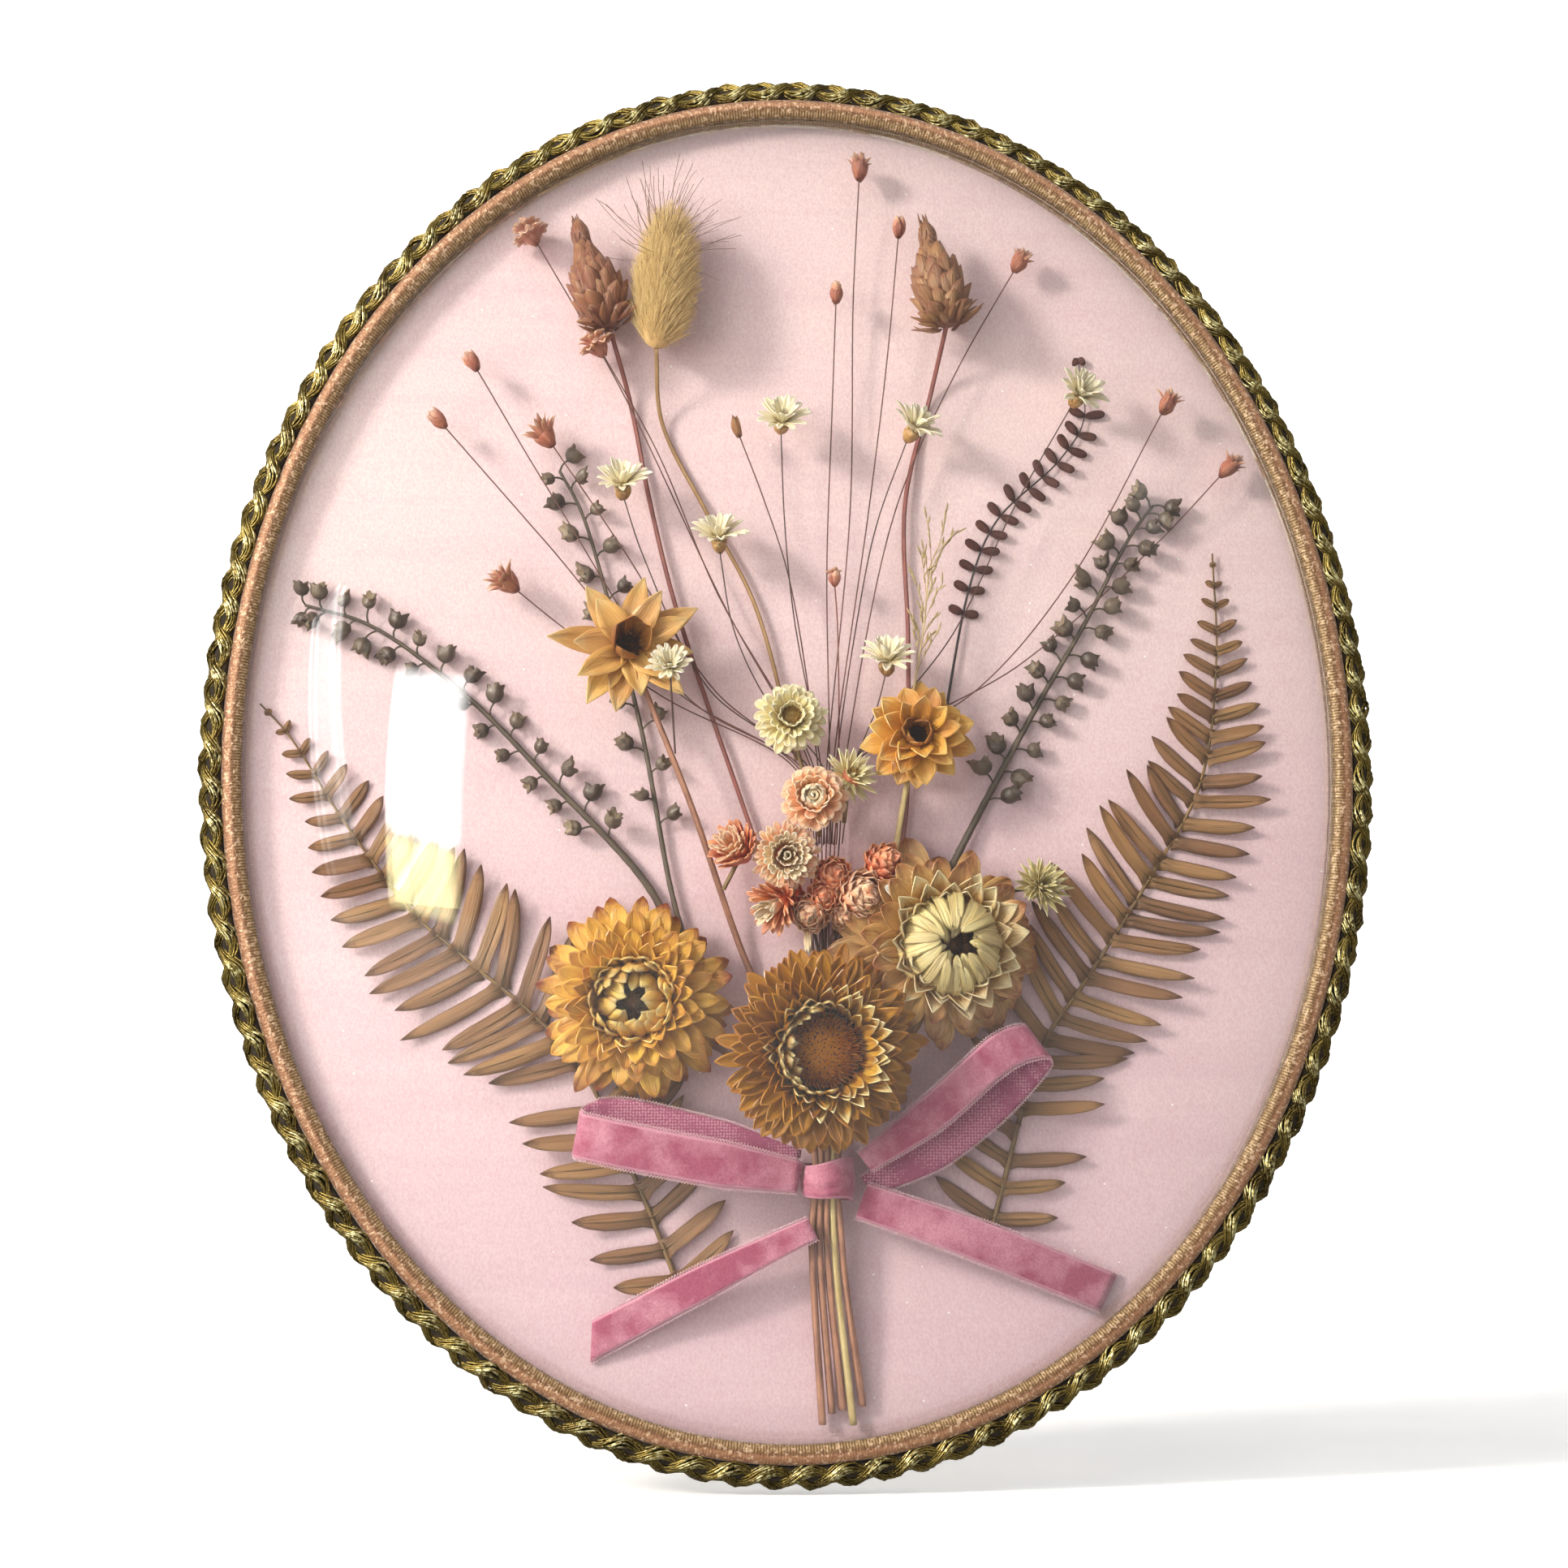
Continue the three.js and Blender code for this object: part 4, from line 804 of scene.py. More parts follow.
def hair_tree(material):
    """Hairs scattered over a seed head: each leans to the tip of the head, and no two are alike."""
    tree, given, node, calc = new_tree(
        "grass_hairs",
        Hairs=8000.0, Length=0.004, Thickness=0.00005, Seed=5, Lean=(0.0, 0.0, 1.0), Spread=0.3,
    )
    scattered = node("GeometryNodeDistributePointsOnFaces", None,
                     {"Mesh": given["Geometry"], "Density": given["Hairs"], "Seed": given["Seed"]})
    line = node("GeometryNodeCurvePrimitiveLine", {"mode": "POINTS"}, {"End": (0, 0, 1)})
    bent = node("GeometryNodeResampleCurve", None, {"Curve": line, "Count": 4})
    share = node("GeometryNodeSplineParameter", out="Factor")
    # a hair is 1 long here: it curls sideways to its tip and tapers to a sixth of its girth
    curl = node("ShaderNodeCombineXYZ", None, calc("MULTIPLY", calc("POWER", share, 2.0), 0.16))
    curved = node("GeometryNodeSetPosition", None, {"Geometry": bent, "Offset": curl})
    thin = calc("MULTIPLY_ADD", share, -0.85, 1.0)
    tapered = node("GeometryNodeSetCurveRadius", None, {"Curve": curved, "Radius": thin})
    hair = threaded(tree, tapered, 3, calc("DIVIDE", given["Thickness"], given["Length"]))
    stray = node("FunctionNodeRandomValue", {"data_type": "FLOAT_VECTOR"},
                 {"Min": (-1, -1, -1), "Max": (1, 1, 1), "Seed": given["Seed"]})
    strays = node("ShaderNodeVectorMath", "SCALE", {"Vector": stray, "Scale": given["Spread"]})
    normal = node("ShaderNodeVectorMath", "ADD", scattered.node.outputs["Normal"], given["Lean"])
    aim = node("ShaderNodeVectorMath", "ADD", normal, strays)
    turn = node("FunctionNodeAlignEulerToVector", {"axis": "Z"}, {"Vector": aim})
    growth = node("FunctionNodeRandomValue", {"data_type": "FLOAT"}, {"Seed": 11}, out=1)
    scale = node(RANGE, None, {"Value": growth, "To Min": 0.55, "To Max": 1.1})
    placed = node("GeometryNodeInstanceOnPoints", None, {
        "Points": scattered, "Instance": hair, "Rotation": turn,
        "Scale": calc("MULTIPLY", scale, given["Length"]),
    })
    return ended(tree, placed, material)


# Heads, from the outer row of petals inwards. A row is: petals, radius of their roots, lift,
# length, width, climb at the root and at the tip in degrees, outline, cup, finish.

STRAWFLOWER_DRAWN, EVERLASTING_DRAWN, DAISY_DRAWN = 18, 6.2, 4.2  # radius at which rows are drawn, mm

GOLD_HEAD = (
    (27, 5.0, -0.6, 13.2, 3.8, 12, -14, "spoon", 0.34, 4),
    (27, 5.0, 0.5, 11.9, 3.8, 24, -2, "spoon", 0.38, 0),
    (25, 5.2, 1.7, 10.4, 3.7, 36, 12, "spoon", 0.42, 0),
    (23, 5.6, 2.7, 8.8, 3.6, 48, 30, "spoon", 0.45, 0),
    (21, 6.2, 3.4, 7.4, 3.6, 58, 62, "shield", 0.5, 0),
    (18, 6.9, 3.3, 6.6, 3.6, 64, 104, "shield", 0.5, 1),
    (16, 6.6, 3.4, 7.2, 3.4, 74, 138, "shield", 0.45, 1),
    (14, 5.4, 3.8, 6.8, 2.9, 78, 160, "shield", 0.4, 1),
)
OCHRE_HEAD = (
    (40, 5.6, -0.6, 12.4, 3.1, 10, -14, "spoon", 0.6, 0),
    (40, 5.9, 0.3, 11.6, 3.1, 24, 0, "spoon", 0.6, 0),
    (38, 6.2, 1.1, 10.7, 3.0, 36, 16, "spoon", 0.65, 0),
    (36, 6.6, 1.9, 9.7, 3.0, 48, 36, "shield", 0.65, 0),
    (34, 7.0, 2.6, 8.9, 2.9, 58, 56, "shield", 0.6, 0),
    (30, 7.3, 3.2, 8.3, 2.8, 66, 76, "shield", 0.55, 1),
    (27, 7.4, 3.6, 7.8, 2.7, 70, 94, "shield", 0.5, 1),
    (22, 7.2, 3.9, 6.8, 2.5, 74, 108, "blade", 0.5, 1),
)
CREAM_HEAD = (
    (18, 5.0, -0.6, 14.0, 5.4, 12, -14, "spoon", 0.35, 2),
    (18, 5.2, 0.5, 13.0, 5.2, 24, 0, "spoon", 0.4, 2),
    (17, 5.6, 1.4, 11.8, 5.2, 36, 16, "spoon", 0.45, 2),
    (16, 6.4, 2.2, 10.2, 5.2, 47, 36, "shield", 0.5, 1),
    (15, 7.2, 2.8, 8.6, 5.0, 56, 58, "shield", 0.55, 1),
    (13, 8.4, 3.2, 6.4, 4.6, 62, 84, "shield", 0.6, 1),
    (36, 9.7, 2.8, 13.2, 2.3, 74, 190, "strap", -0.1, 0),
)
OPEN_LEFT_HEAD = (
    (8, 1.2, -0.5, 18.8, 8.4, 16, 2, "blade", 0.4, 0),
    (7, 1.4, 0.4, 14.6, 8.0, 30, 12, "blade", 0.45, 0),
)
OPEN_RIGHT_HEAD = (
    (11, 2.8, -0.6, 16.0, 8.8, 14, -2, "shield", 0.4, 0),
    (10, 3.0, 1.0, 14.0, 8.6, 30, 8, "shield", 0.45, 0),
    (9, 3.2, 2.2, 11.6, 7.8, 48, 34, "shield", 0.5, 0),
    (8, 4.4, 2.4, 7.8, 5.6, 70, 104, "shield", 0.55, 1),
)
CREAM_BUTTON = (
    (20, 1.8, -0.6, 4.7, 1.8, 24, -4, "strap", 0.4, 0),
    (19, 1.8, 0.3, 4.2, 1.7, 40, 14, "strap", 0.4, 0),
    (17, 1.9, 1.0, 3.4, 1.6, 58, 44, "strap", 0.45, 0),
    (12, 1.7, 1.5, 2.7, 1.4, 72, 84, "strap", 0.45, 0),
)
STRAPPY = (
    (18, 0.7, -0.6, 5.9, 1.3, 20, 8, "blade", 0.35, 0),
    (16, 0.7, 0.1, 5.3, 1.2, 42, 34, "blade", 0.35, 0),
    (12, 0.6, 0.6, 4.4, 1.1, 66, 70, "blade", 0.4, 0),
)
PEACH_COIL = (
    (15, 2.0, -0.6, 4.4, 2.5, 24, -6, "strap", 0.4, 0),
    (15, 2.0, 0.5, 3.8, 2.3, 42, 20, "strap", 0.4, 0),
    (14, 2.2, 1.3, 3.0, 2.1, 58, 78, "strap", 0.45, 0),
    (11, 2.3, 1.6, 2.9, 1.9, 72, 140, "strap", 0.5, 1),
)
PEACH_BUTTON = (
    (22, 1.6, -0.6, 4.8, 1.4, 18, -6, "strap", 0.4, 0),
    (22, 1.6, 0.3, 4.3, 1.3, 36, 16, "strap", 0.4, 0),
    (20, 1.9, 1.0, 3.5, 1.2, 52, 40, "strap", 0.4, 1),
    (18, 2.2, 1.5, 2.4, 1.1, 66, 70, "strap", 0.45, 1),
    (13, 1.3, 1.8, 2.3, 1.0, 74, 84, "strap", 0.45, 1),
    (7, 0.5, 1.9, 2.2, 1.0, 82, 92, "strap", 0.45, 1),
)
SALMON_HEAD = (
    (20, 1.2, -1.8, 7.4, 1.7, 54, 62, "strap", 0.4, 2),
    (20, 1.4, -0.8, 7.0, 1.6, 58, 50, "strap", 0.4, 2),
    (20, 1.0, 0.4, 6.2, 1.5, 66, 60, "strap", 0.4, 1),
    (14, 0.8, 1.0, 5.6, 1.4, 78, 76, "strap", 0.4, 1),
)
BRUSH_HEAD = (
    (18, 0.8, -0.8, 5.6, 1.2, 58, 34, "strap", 0.4, 0),
    (18, 0.9, -0.2, 5.4, 1.1, 66, 52, "strap", 0.4, 0),
    (14, 0.6, 0.4, 5.0, 1.0, 76, 72, "strap", 0.4, 2),
)
STAR_DAISY = (
    (13, 0.8, 0.0, 4.4, 1.35, 40, 12, "oval", 0.45, 0),
    (10, 0.6, 0.4, 3.7, 1.2, 66, 50, "oval", 0.5, 0),
)
CALYX = (
    (8, 0.3, -2.6, 2.7, 1.5, 36, 104, "oval", 0.5, 1),
    (7, 0.5, -2.0, 2.4, 1.3, 50, 98, "oval", 0.5, 1),
)


def flower(heap, place, rows, scale, rng, thick=0.17, wild=1.0, shut=(0.0, 0.0)):
    """Rows of petals round a place's own z, each petal a little its own way. shut is (degrees,
    direction): the petals on that side close over the eye by so much more."""
    steps = (8, 4) if scale > 0.45 else (6, 2)
    for petals, root, lift, length, width, low, high, outline, cup, slot in rows:
        start = rng.uniform(0, 2 * np.pi)
        for i in range(petals):
            turn = start + (i + rng.normal(0, 0.09 * wild)) * 2 * np.pi / petals
            grow = scale * (1 + rng.normal(0, 0.04 * wild))
            tilt = rng.normal(0, 3.0 * wild) + shut[0] * math.cos(turn - shut[1])
            spot = place @ spoke(turn, root * scale, (lift + rng.normal(0, 0.1)) * scale)
            petal(heap, spot, length * grow, width * scale * (1 + rng.normal(0, 0.06)),
                  (low + tilt, high + tilt * 1.5 + rng.normal(0, 4.0 * wild)), outline,
                  cup * (1 + rng.normal(0, 0.2)), rng.normal(0, 0.035 * wild), steps, thick,
                  rng.uniform(), slot, 0.05 * wild)


def scaly(heap, place, profile, scales, length, width, lean, rng, slot, thick, outline):
    """Scales in a spiral up a turned form: (share of height, radius) pairs in millimetres."""
    heights, radii = zip(*profile)
    for i in range(scales):
        share = (i + 0.5) / scales
        h = heights[0] + (heights[-1] - heights[0]) * share
        r = np.interp(h, heights, radii)
        above = np.interp(h + 0.4, heights, radii)
        slope = math.degrees(math.atan2(0.4, above - r))
        spot = place @ spoke(i * GOLDEN_TURN + rng.normal(0, 0.06), r, h)
        climb = slope - lean + rng.normal(0, 4)
        petal(heap, spot, length * (1 + rng.normal(0, 0.08)), width, (climb - 6, climb + 10), outline, 0.55,
              rng.normal(0, 0.03), (5, 2), thick, rng.uniform(), slot)


def globe(heap, place, radius, petals, rng, slot):
    """A round head of overlapping petals, as clover has."""
    around = np.linspace(0.12, math.pi - 0.12, 11)
    ball = [(-radius * 0.86 * math.cos(a), radius * 0.84 * math.sin(a)) for a in around]
    turned(heap, place, [(r, h) for h, r in ball], 12, 0.6, slot)
    scaly(heap, place, ball, int(petals * 1.3), radius * 0.8, radius * 0.62, 5, rng, slot, 0.12, "strap")


def tuft(heap, place, radius, height, florets, length, rng, slot=0, thin=0.1):
    """A fuzzy disc: short florets standing close on a low dome."""
    dome = [(0.1, -0.9), (radius * 0.6, -0.8), (radius * 0.98, 0), (0.2 * radius, height * 0.99 - 0.2)]
    turned(heap, place, dome, 14, 0.2, slot)
    for i in range(florets):
        share = (i + 0.5) / florets
        r = radius * share**0.5
        lift = height * (1 - share)
        spot = place @ spoke(i * GOLDEN_TURN, r, lift - 0.1)
        lean = 90 - 38 * share**0.5 + rng.normal(0, 9)
        petal(heap, spot, length * rng.uniform(0.7, 1.25), thin * 2.2, (lean, lean + rng.normal(0, 14)),
              "blade", 0.3, 0, (3, 1), thin, rng.uniform(), slot)


def facing(place, look):
    """A flower's frame. look is (right, up) for a flower that faces the viewer."""
    return frame_at(place, (look[0], -1.0, look[1]))


# Places of the pieces

STRAWFLOWERS = {
    "gold": dict(size=0.98, lift=0.47, place=-2, look=(-0.1, -0.05), head=(-0.29, -0.365), over=None,
                 way=((-0.035, -0.49),), end=(0.053, -0.975)),
    "ochre": dict(size=1.0, lift=1.0, place=0, look=(0.0, 0.0), head=(0.037, -0.44), over=None,
                  way=((0.05, -0.52),), end=(0.089, -0.955)),
    "cream": dict(size=0.92, lift=0.52, place=2, look=(0.1, 0.05), head=(0.264, -0.284), over=None,
                  way=((0.165, -0.5),), end=(0.125, -0.95)),
    "open_left": dict(size=0.69, lift=0.57, place=-1, look=(0.05, 0.1), head=(-0.309, 0.159),
                      over=(-0.19, -0.08), way=((-0.09, -0.3), (0.02, -0.49)), end=(0.07, -0.96)),
    "open_right": dict(size=0.53, lift=0.655, place=1, look=(0.0, 0.05), head=(0.219, 0.031),
                       over=(0.19, -0.1), way=((0.155, -0.3), (0.1, -0.5)), end=(0.108, -0.975)),
}
STRAWFLOWER_HEIGHT = 11.6
EVERLASTINGS = {
    "cream_upper": dict(size=1.03, lift=7.8, look=(0.0, 0.1), head=(-0.013, 0.054), foot=(0.03, -0.08, 6.3)),
    "cream_lower": dict(size=0.86, lift=7.8, look=(0.3, 0.3), head=(0.095, -0.032), foot=(0.087, -0.1, 6.3)),
    "peach_upper": dict(size=0.96, lift=11.7, look=(-0.1, 0.1), head=(0.028, -0.07),
                        foot=(0.042, -0.12, 6.3)),
    "peach_lower": dict(size=0.98, lift=10.9, look=(0.0, -0.1), head=(-0.023, -0.154),
                        foot=(-0.045, -0.21, 8.3)),
    "salmon": dict(size=0.84, lift=7.2, look=(-0.75, 0.5), head=(-0.1, -0.148), foot=(-0.132, -0.2, 5.0)),
}
# layer and column of the wire, form of the bud, its height, places from the bud down
WIRE_BUDS = (
    (0, 1, "ruffled", 4.2, ((-0.495, 0.8), (-0.33, 0.57), (-0.13, 0.23))),
    (1, 1, "ruffled", 5.6, ((-0.37, 0.625), (-0.26, 0.47), (-0.145, 0.25))),
    (2, 0, "closed", 5.6, ((-0.6, 0.593), (-0.45, 0.392), (-0.2, 0.09))),
    (1, 0, "closed", 5.6, ((-0.659, 0.502), (-0.462, 0.324), (-0.22, 0.1))),
    (3, 0, "star", 5.6, ((-0.462, 0.481), (-0.322, 0.315), (-0.15, 0.1))),
    (0, 0, "star", 5.6, ((-0.528, 0.255), (-0.42, 0.19), (-0.24, 0.09))),
    (2, 1, "tight", 5.6, ((-0.112, 0.501), (-0.055, 0.384), (-0.011, 0.268))),
    (1, 2, "closed", 5.6, ((0.073, 0.713), (0.067, 0.526), (0.058, 0.291))),
    (0, 2, "opening", 4.2, ((0.118, 0.915), (0.108, 0.713), (0.102, 0.382))),
    (2, 2, "closed", 4.2, ((0.193, 0.824), (0.171, 0.623), (0.137, 0.391))),
    (1, 3, "opening", 4.2, ((0.418, 0.774), (0.3, 0.601), (0.184, 0.378))),
    (4, 2, "small", 5.6, ((0.07, 0.27), (0.076, 0.2))),
    (2, 3, "opening", 5.6, ((0.694, 0.551), (0.511, 0.277), (0.334, 0.106))),
    (0, 3, "opening", 4.2, ((0.81, 0.456), (0.675, 0.337), (0.42, 0.15))),
)
# layer and column of the wire, which way the daisy looks, places from the head down
STAR_DAISIES = (
    (4, 0, (-0.1, 1.1), ((-0.324, 0.408), (-0.282, 0.299), (-0.16, 0.1))),
    (3, 1, (0.05, 0.6), ((-0.029, 0.512), (-0.022, 0.36), (-0.004, 0.213))),
    (3, 2, (0.9, 1.3), ((0.217, 0.504), (0.149, 0.357), (0.111, 0.2))),
    (4, 1, (-0.1, 1.2), ((-0.145, 0.329), (-0.115, 0.19), (-0.05, 0.08))),
    (4, 3, (0.0, 1.3), ((0.166, 0.145), (0.15, 0.08))),
    (3, 3, (0.5, 0.6), ((0.528, 0.562), (0.411, 0.395), (0.29, 0.19))),
)
WIRE_FEET = ((-0.02, 3.6, 0.7), (-0.13, 1.86, 0.64), (-0.33, 1.2, 0.4))  # up, spread and shift of the wires
LAYER_PITCH = 0.7  # mm from one layer of wires to the next


def wire_route(layer, column, places, head_height):
    """The points of a wire from its head down to the knot, clear of the other wires."""
    height = 2.6 + layer * LAYER_PITCH
    run = [at(p, head_height if i == 0 else height) for i, p in enumerate(places)]
    for up, spread, shift in WIRE_FEET if (layer + column) % 3 == 0 else WIRE_FEET[:2]:
        across = ((column - 1.5) * spread + (layer - 2) * shift) * LAYER_PITCH
        run.append(at((0.055, up), height) + (across, 0, 0))
    return run


# The add-on's operators


class PieceOperator:
    """What every operator shares: it makes its pieces with make() and can be undone."""

    bl_options = {"REGISTER", "UNDO"}

    def execute(self, context):
        self.make()
        return {"FINISHED"}


# name, place, what it points at, width, height, watts, colour
STUDIO_LAMPS = (
    ("soft_key", (-1.0, -0.65, 0.5), (0, 0, 0), 0.2, 0.24, 16.5, "#FFF7EA"),
    ("fill", (1.33, -1.11, 1.0), (0, 0, 0), 1.4, 1.4, 1.6, "#FBFCFF"),
    ("ceiling", (-0.15, -0.45, 0.6), (0.0, 0.0, 0.02), 0.7, 0.5, 2.3, "#FFFDF8"),
    ("backdrop_wash", (0.0, 0.7, 0.9), (0.0, 1.8, 0.25), 2.4, 0.8, 20.0, "#FFFFFF"),
)


class FLOWERFRAME_OT_stage(PieceOperator, bpy.types.Operator):
    """Camera at the photograph's angle, a pale sweep to stand on and soft window light"""

    bl_idname = "flowerframe.stage"
    bl_label = "Stage"

    azimuth, elevation, roll = -4.0, -8.0, 0.164
    distance, target = 0.5, Vector((-0.001323, 0.0, -0.003183))
    focal_pixels, picture_pixels = 3366.0, 1932.0
    mirror_distance = 1.6
    gap_below = 0.0006
    sweep_glow, room_light, white_behind = 0.42, 0.26, 1.05
    bend_start, bend_radius, sweep_top, sweep_side = 1.0, 0.8, 3.5, 3.5

    # what the glass mirrors: name, low end, high end (azimuth and elevation in degrees), width in
    # degrees, radiance, brightness across and along it
    mirrored = (
        ("window_far_pane", (-53.7, -3.5), (-63.6, 20.2), 8.5, 11.0,
         ((0.0, 0.0), (0.08, 0.9), (0.2, 0.2), (0.5, 0.25), (0.75, 0.3), (0.9, 1.0), (1.0, 0.0)),
         ((0.0, 0.0, 0.0), (0.2, 0.4, 0.05), (0.7, 0.7, 0.0), (1.0, 1.0, 0.0))),
        ("window_near_pane", (-38.0, -5.5), (-36.2, 14.0), 12.0, 24.0,
         ((0.0, 0.0), (0.05, 0.9), (0.35, 1.0), (0.4, 0.5), (0.45, 1.0), (0.85, 0.95), (1.0, 0.0)),
         ((0.0, 0.0, 0.5), (0.04, 0.55, 0.5), (0.28, 0.7, 0.5), (0.31, 0.35, 0.3), (0.36, 1.0, 0.0),
          (0.9, 1.0, 0.0), (1.0, 0.0, 0.0))),
        ("wall_glow", (-46.0, -27.0), (-41.0, -13.0), 16.0, 0.35,
         ((0.0, 0.0), (0.3, 0.9), (0.7, 1.0), (1.0, 0.0)),
         ((0.0, 0.2, 0.2), (0.5, 1.0, 0.3), (1.0, 0.2, 0.2))),
        ("far_wall_low", (47.0, -28.0), (47.0, -14.0), 9.0, 0.8,
         ((0.0, 0.0), (0.4, 1.0), (1.0, 0.0)), ((0.0, 0.0, 0.0), (0.5, 1.0, 0.1), (1.0, 0.0, 0.0))),
        ("far_wall_high", (48.0, 20.0), (48.0, 38.0), 8.0, 0.7,
         ((0.0, 0.0), (0.5, 1.0), (1.0, 0.0)), ((0.0, 0.0, 0.0), (0.5, 1.0, 0.0), (1.0, 0.0, 0.0))),
    )

    def make(self):
        scene = bpy.context.scene
        scene.view_settings.view_transform = "Standard"
        turn, climb, roll = (math.radians(a) for a in (self.azimuth, self.elevation, self.roll))
        back = Vector((math.sin(turn) * math.cos(climb), -math.cos(turn) * math.cos(climb), math.sin(climb)))
        right = Vector((math.cos(turn), math.sin(turn), 0.0))
        up = back.cross(right)
        right, up = math.cos(roll) * right + math.sin(roll) * up, math.cos(roll) * up - math.sin(roll) * right
        lens = bpy.data.cameras.new("camera")
        lens.sensor_width = 36.0
        lens.lens = self.focal_pixels / self.picture_pixels * lens.sensor_width
        lens.clip_start, lens.clip_end = 0.01, 20.0
        camera = bpy.data.objects.new("camera", lens)
        scene.collection.objects.link(camera)
        turned_to = Matrix((right, up, back)).transposed().to_4x4()
        camera.matrix_world = Matrix.Translation(self.target + back * self.distance) @ turned_to
        scene.camera = camera

        # a sweep: level from near the camera, then bent up into a wall behind the piece
        floor = CAD_BOX[0].z - self.gap_below
        start, bend = self.bend_start, self.bend_radius
        run = [(-2.5, 0.0), (start, 0.0)]
        run += [(start + bend * math.sin(a), bend - bend * math.cos(a))
                for a in np.linspace(0.1, math.pi / 2, 14)]
        run.append((start + bend, self.sweep_top))
        mesh = bpy.data.meshes.new("sweep")
        points = [(x, y, floor + z) for y, z in run for x in (-self.sweep_side, self.sweep_side)]
        mesh.from_pydata(points, [], [(2 * i, 2 * i + 1, 2 * i + 3, 2 * i + 2) for i in range(len(run) - 1)])
        sweep = bpy.data.objects.new("sweep", mesh)
        # opal acrylic, lit from below for the camera alone, so that the piece stands on white
        acrylic = grained("opal_acrylic_matt", "#F6F6F6", "#F2F2F2", "#FAFAFA", 40, 0.7, 0.0001,
                          Emission_Color=(1, 1, 1, 1))
        tree = acrylic.node_tree
        seen = add(tree, "ShaderNodeLightPath", out="Is Camera Ray")
        glow = add(tree, MATH, "MULTIPLY", seen, self.sweep_glow)
        tree.links.new(glow, tree.nodes["Principled BSDF"].inputs["Emission Strength"])
        mesh.materials.append(acrylic)
        # the glass would mirror it as a white veil over the flowers
        sweep.visible_glossy = False
        scene.collection.objects.link(sweep)

        world = bpy.data.worlds.new("studio")
        world.use_nodes = True
        # the room is dimmer than the white that the camera sees behind the piece
        tree = world.node_tree
        seen = add(tree, "ShaderNodeLightPath", out="Is Camera Ray")
        room = tree.nodes["Background"].inputs
        room["Color"].default_value = (1.0, 0.995, 0.99, 1)
        light = {"Value": seen, "To Min": self.room_light, "To Max": self.white_behind}
        tree.links.new(add(tree, RANGE, None, light), room["Strength"])
        scene.world = world

        for name, place, aim, wide, high, watts, tint in STUDIO_LAMPS:
            lamp = self.lamp(name, Vector(place), Vector(place) - Vector(aim), UP, wide, high, watts)
            lamp.data.color = colour(tint)[:3]
            lamp.visible_transmission = False
        for name, low, high, width, radiance, across, along in self.mirrored:
            low, high = (self.direction(*end) * self.mirror_distance for end in (low, high))
            wide, tall = self.mirror_distance * math.radians(width), (high - low).length
            lamp = self.lamp(name, (low + high) / 2, low + high, high - low, wide, tall,
                             math.pi * wide * tall * radiance)
            lamp.visible_diffuse = False
            lamp.data.use_nodes = True
            tree = lamp.data.node_tree
            spot = add(tree, "ShaderNodeNewGeometry", out="Parametric")
            spot = add(tree, "ShaderNodeSeparateXYZ", None, {"Vector": spot}).node.outputs
            side = add(tree, RAMP, {"stops": [(place, (k, k, k, 1)) for place, k in across]}, spot["X"])
            stops = [(place, (k, k * (1 - 0.12 * warm), k * (1 - warm), 1)) for place, k, warm in along]
            rise = add(tree, RAMP, {"stops": stops}, spot["Y"])
            both = add(tree, MIX, {"data_type": "RGBA", "blend_type": "MULTIPLY"}, {0: 1.0, 6: side, 7: rise},
                       out=2)
            tree.links.new(both, tree.nodes["Emission"].inputs["Color"])

    def direction(self, azimuth, elevation):
        a, e = math.radians(azimuth), math.radians(elevation)
        return Vector((math.sin(a) * math.cos(e), -math.cos(a) * math.cos(e), math.sin(e)))

    def lamp(self, name, place, away, top, wide, high, watts):
        """An area light at a place. It shines opposite to away, and its height runs towards top."""
        light = bpy.data.lights.new(name, "AREA")
        light.shape, light.size, light.size_y, light.energy = "RECTANGLE", wide, high, watts
        lamp = bpy.data.objects.new(name, light)
        bpy.context.scene.collection.objects.link(lamp)
        turned_to = frame_at(np.array(place), np.array(away), np.array(top))
        lamp.matrix_world = Matrix(turned_to.tolist())
        lamp.visible_camera = False
        return lamp


class FLOWERFRAME_OT_back(PieceOperator, bpy.types.Operator):
    """Finishes for the boards, paper, tape, pin and ring behind the picture"""

    bl_idname = "flowerframe.back"
    bl_label = "Boards and hanger"

    def make(self):
        even = (1.0, 1.0, 1.0)
        # piece, finish, its colour, dark and light, grain to a metre, roughness, relief, squeeze
        for node, name, *look, squeeze in (
            ("back_cover", "kraft_paper", "#A98C63", "#8F7450", "#B99C72", 900, 0.85, 0.00005,
             (1.0, 1.0, 2.5)),
            ("backing_board", "greyboard_pressed", "#9A9284", "#837B6D", "#ADA596", 1600, 0.92, 0.00008,
             even),
            ("mount_card", "mount_card_plain", "#E8E1D2", "#DCD4C3", "#F2ECE0", 1200, 0.9, 0.00004, even),
            ("edge_binding", "cotton_tape_woven", "#CDBB9C", "#B39F7E", "#DDCDB0", 1400, 0.88, 0.0001,
             (1.0, 0.4, 1.0)),
        ):
            coat_node(node, grained(name, *look, squeeze=squeeze))
        brass = grained("brass_stamped", "#B5944E", "#8A6C36", "#D8BC78", 500, 0.34, 0.00003, metallic=1.0)
        coat_node("split_pin", brass)
        coat_node("hanging_ring", brass)


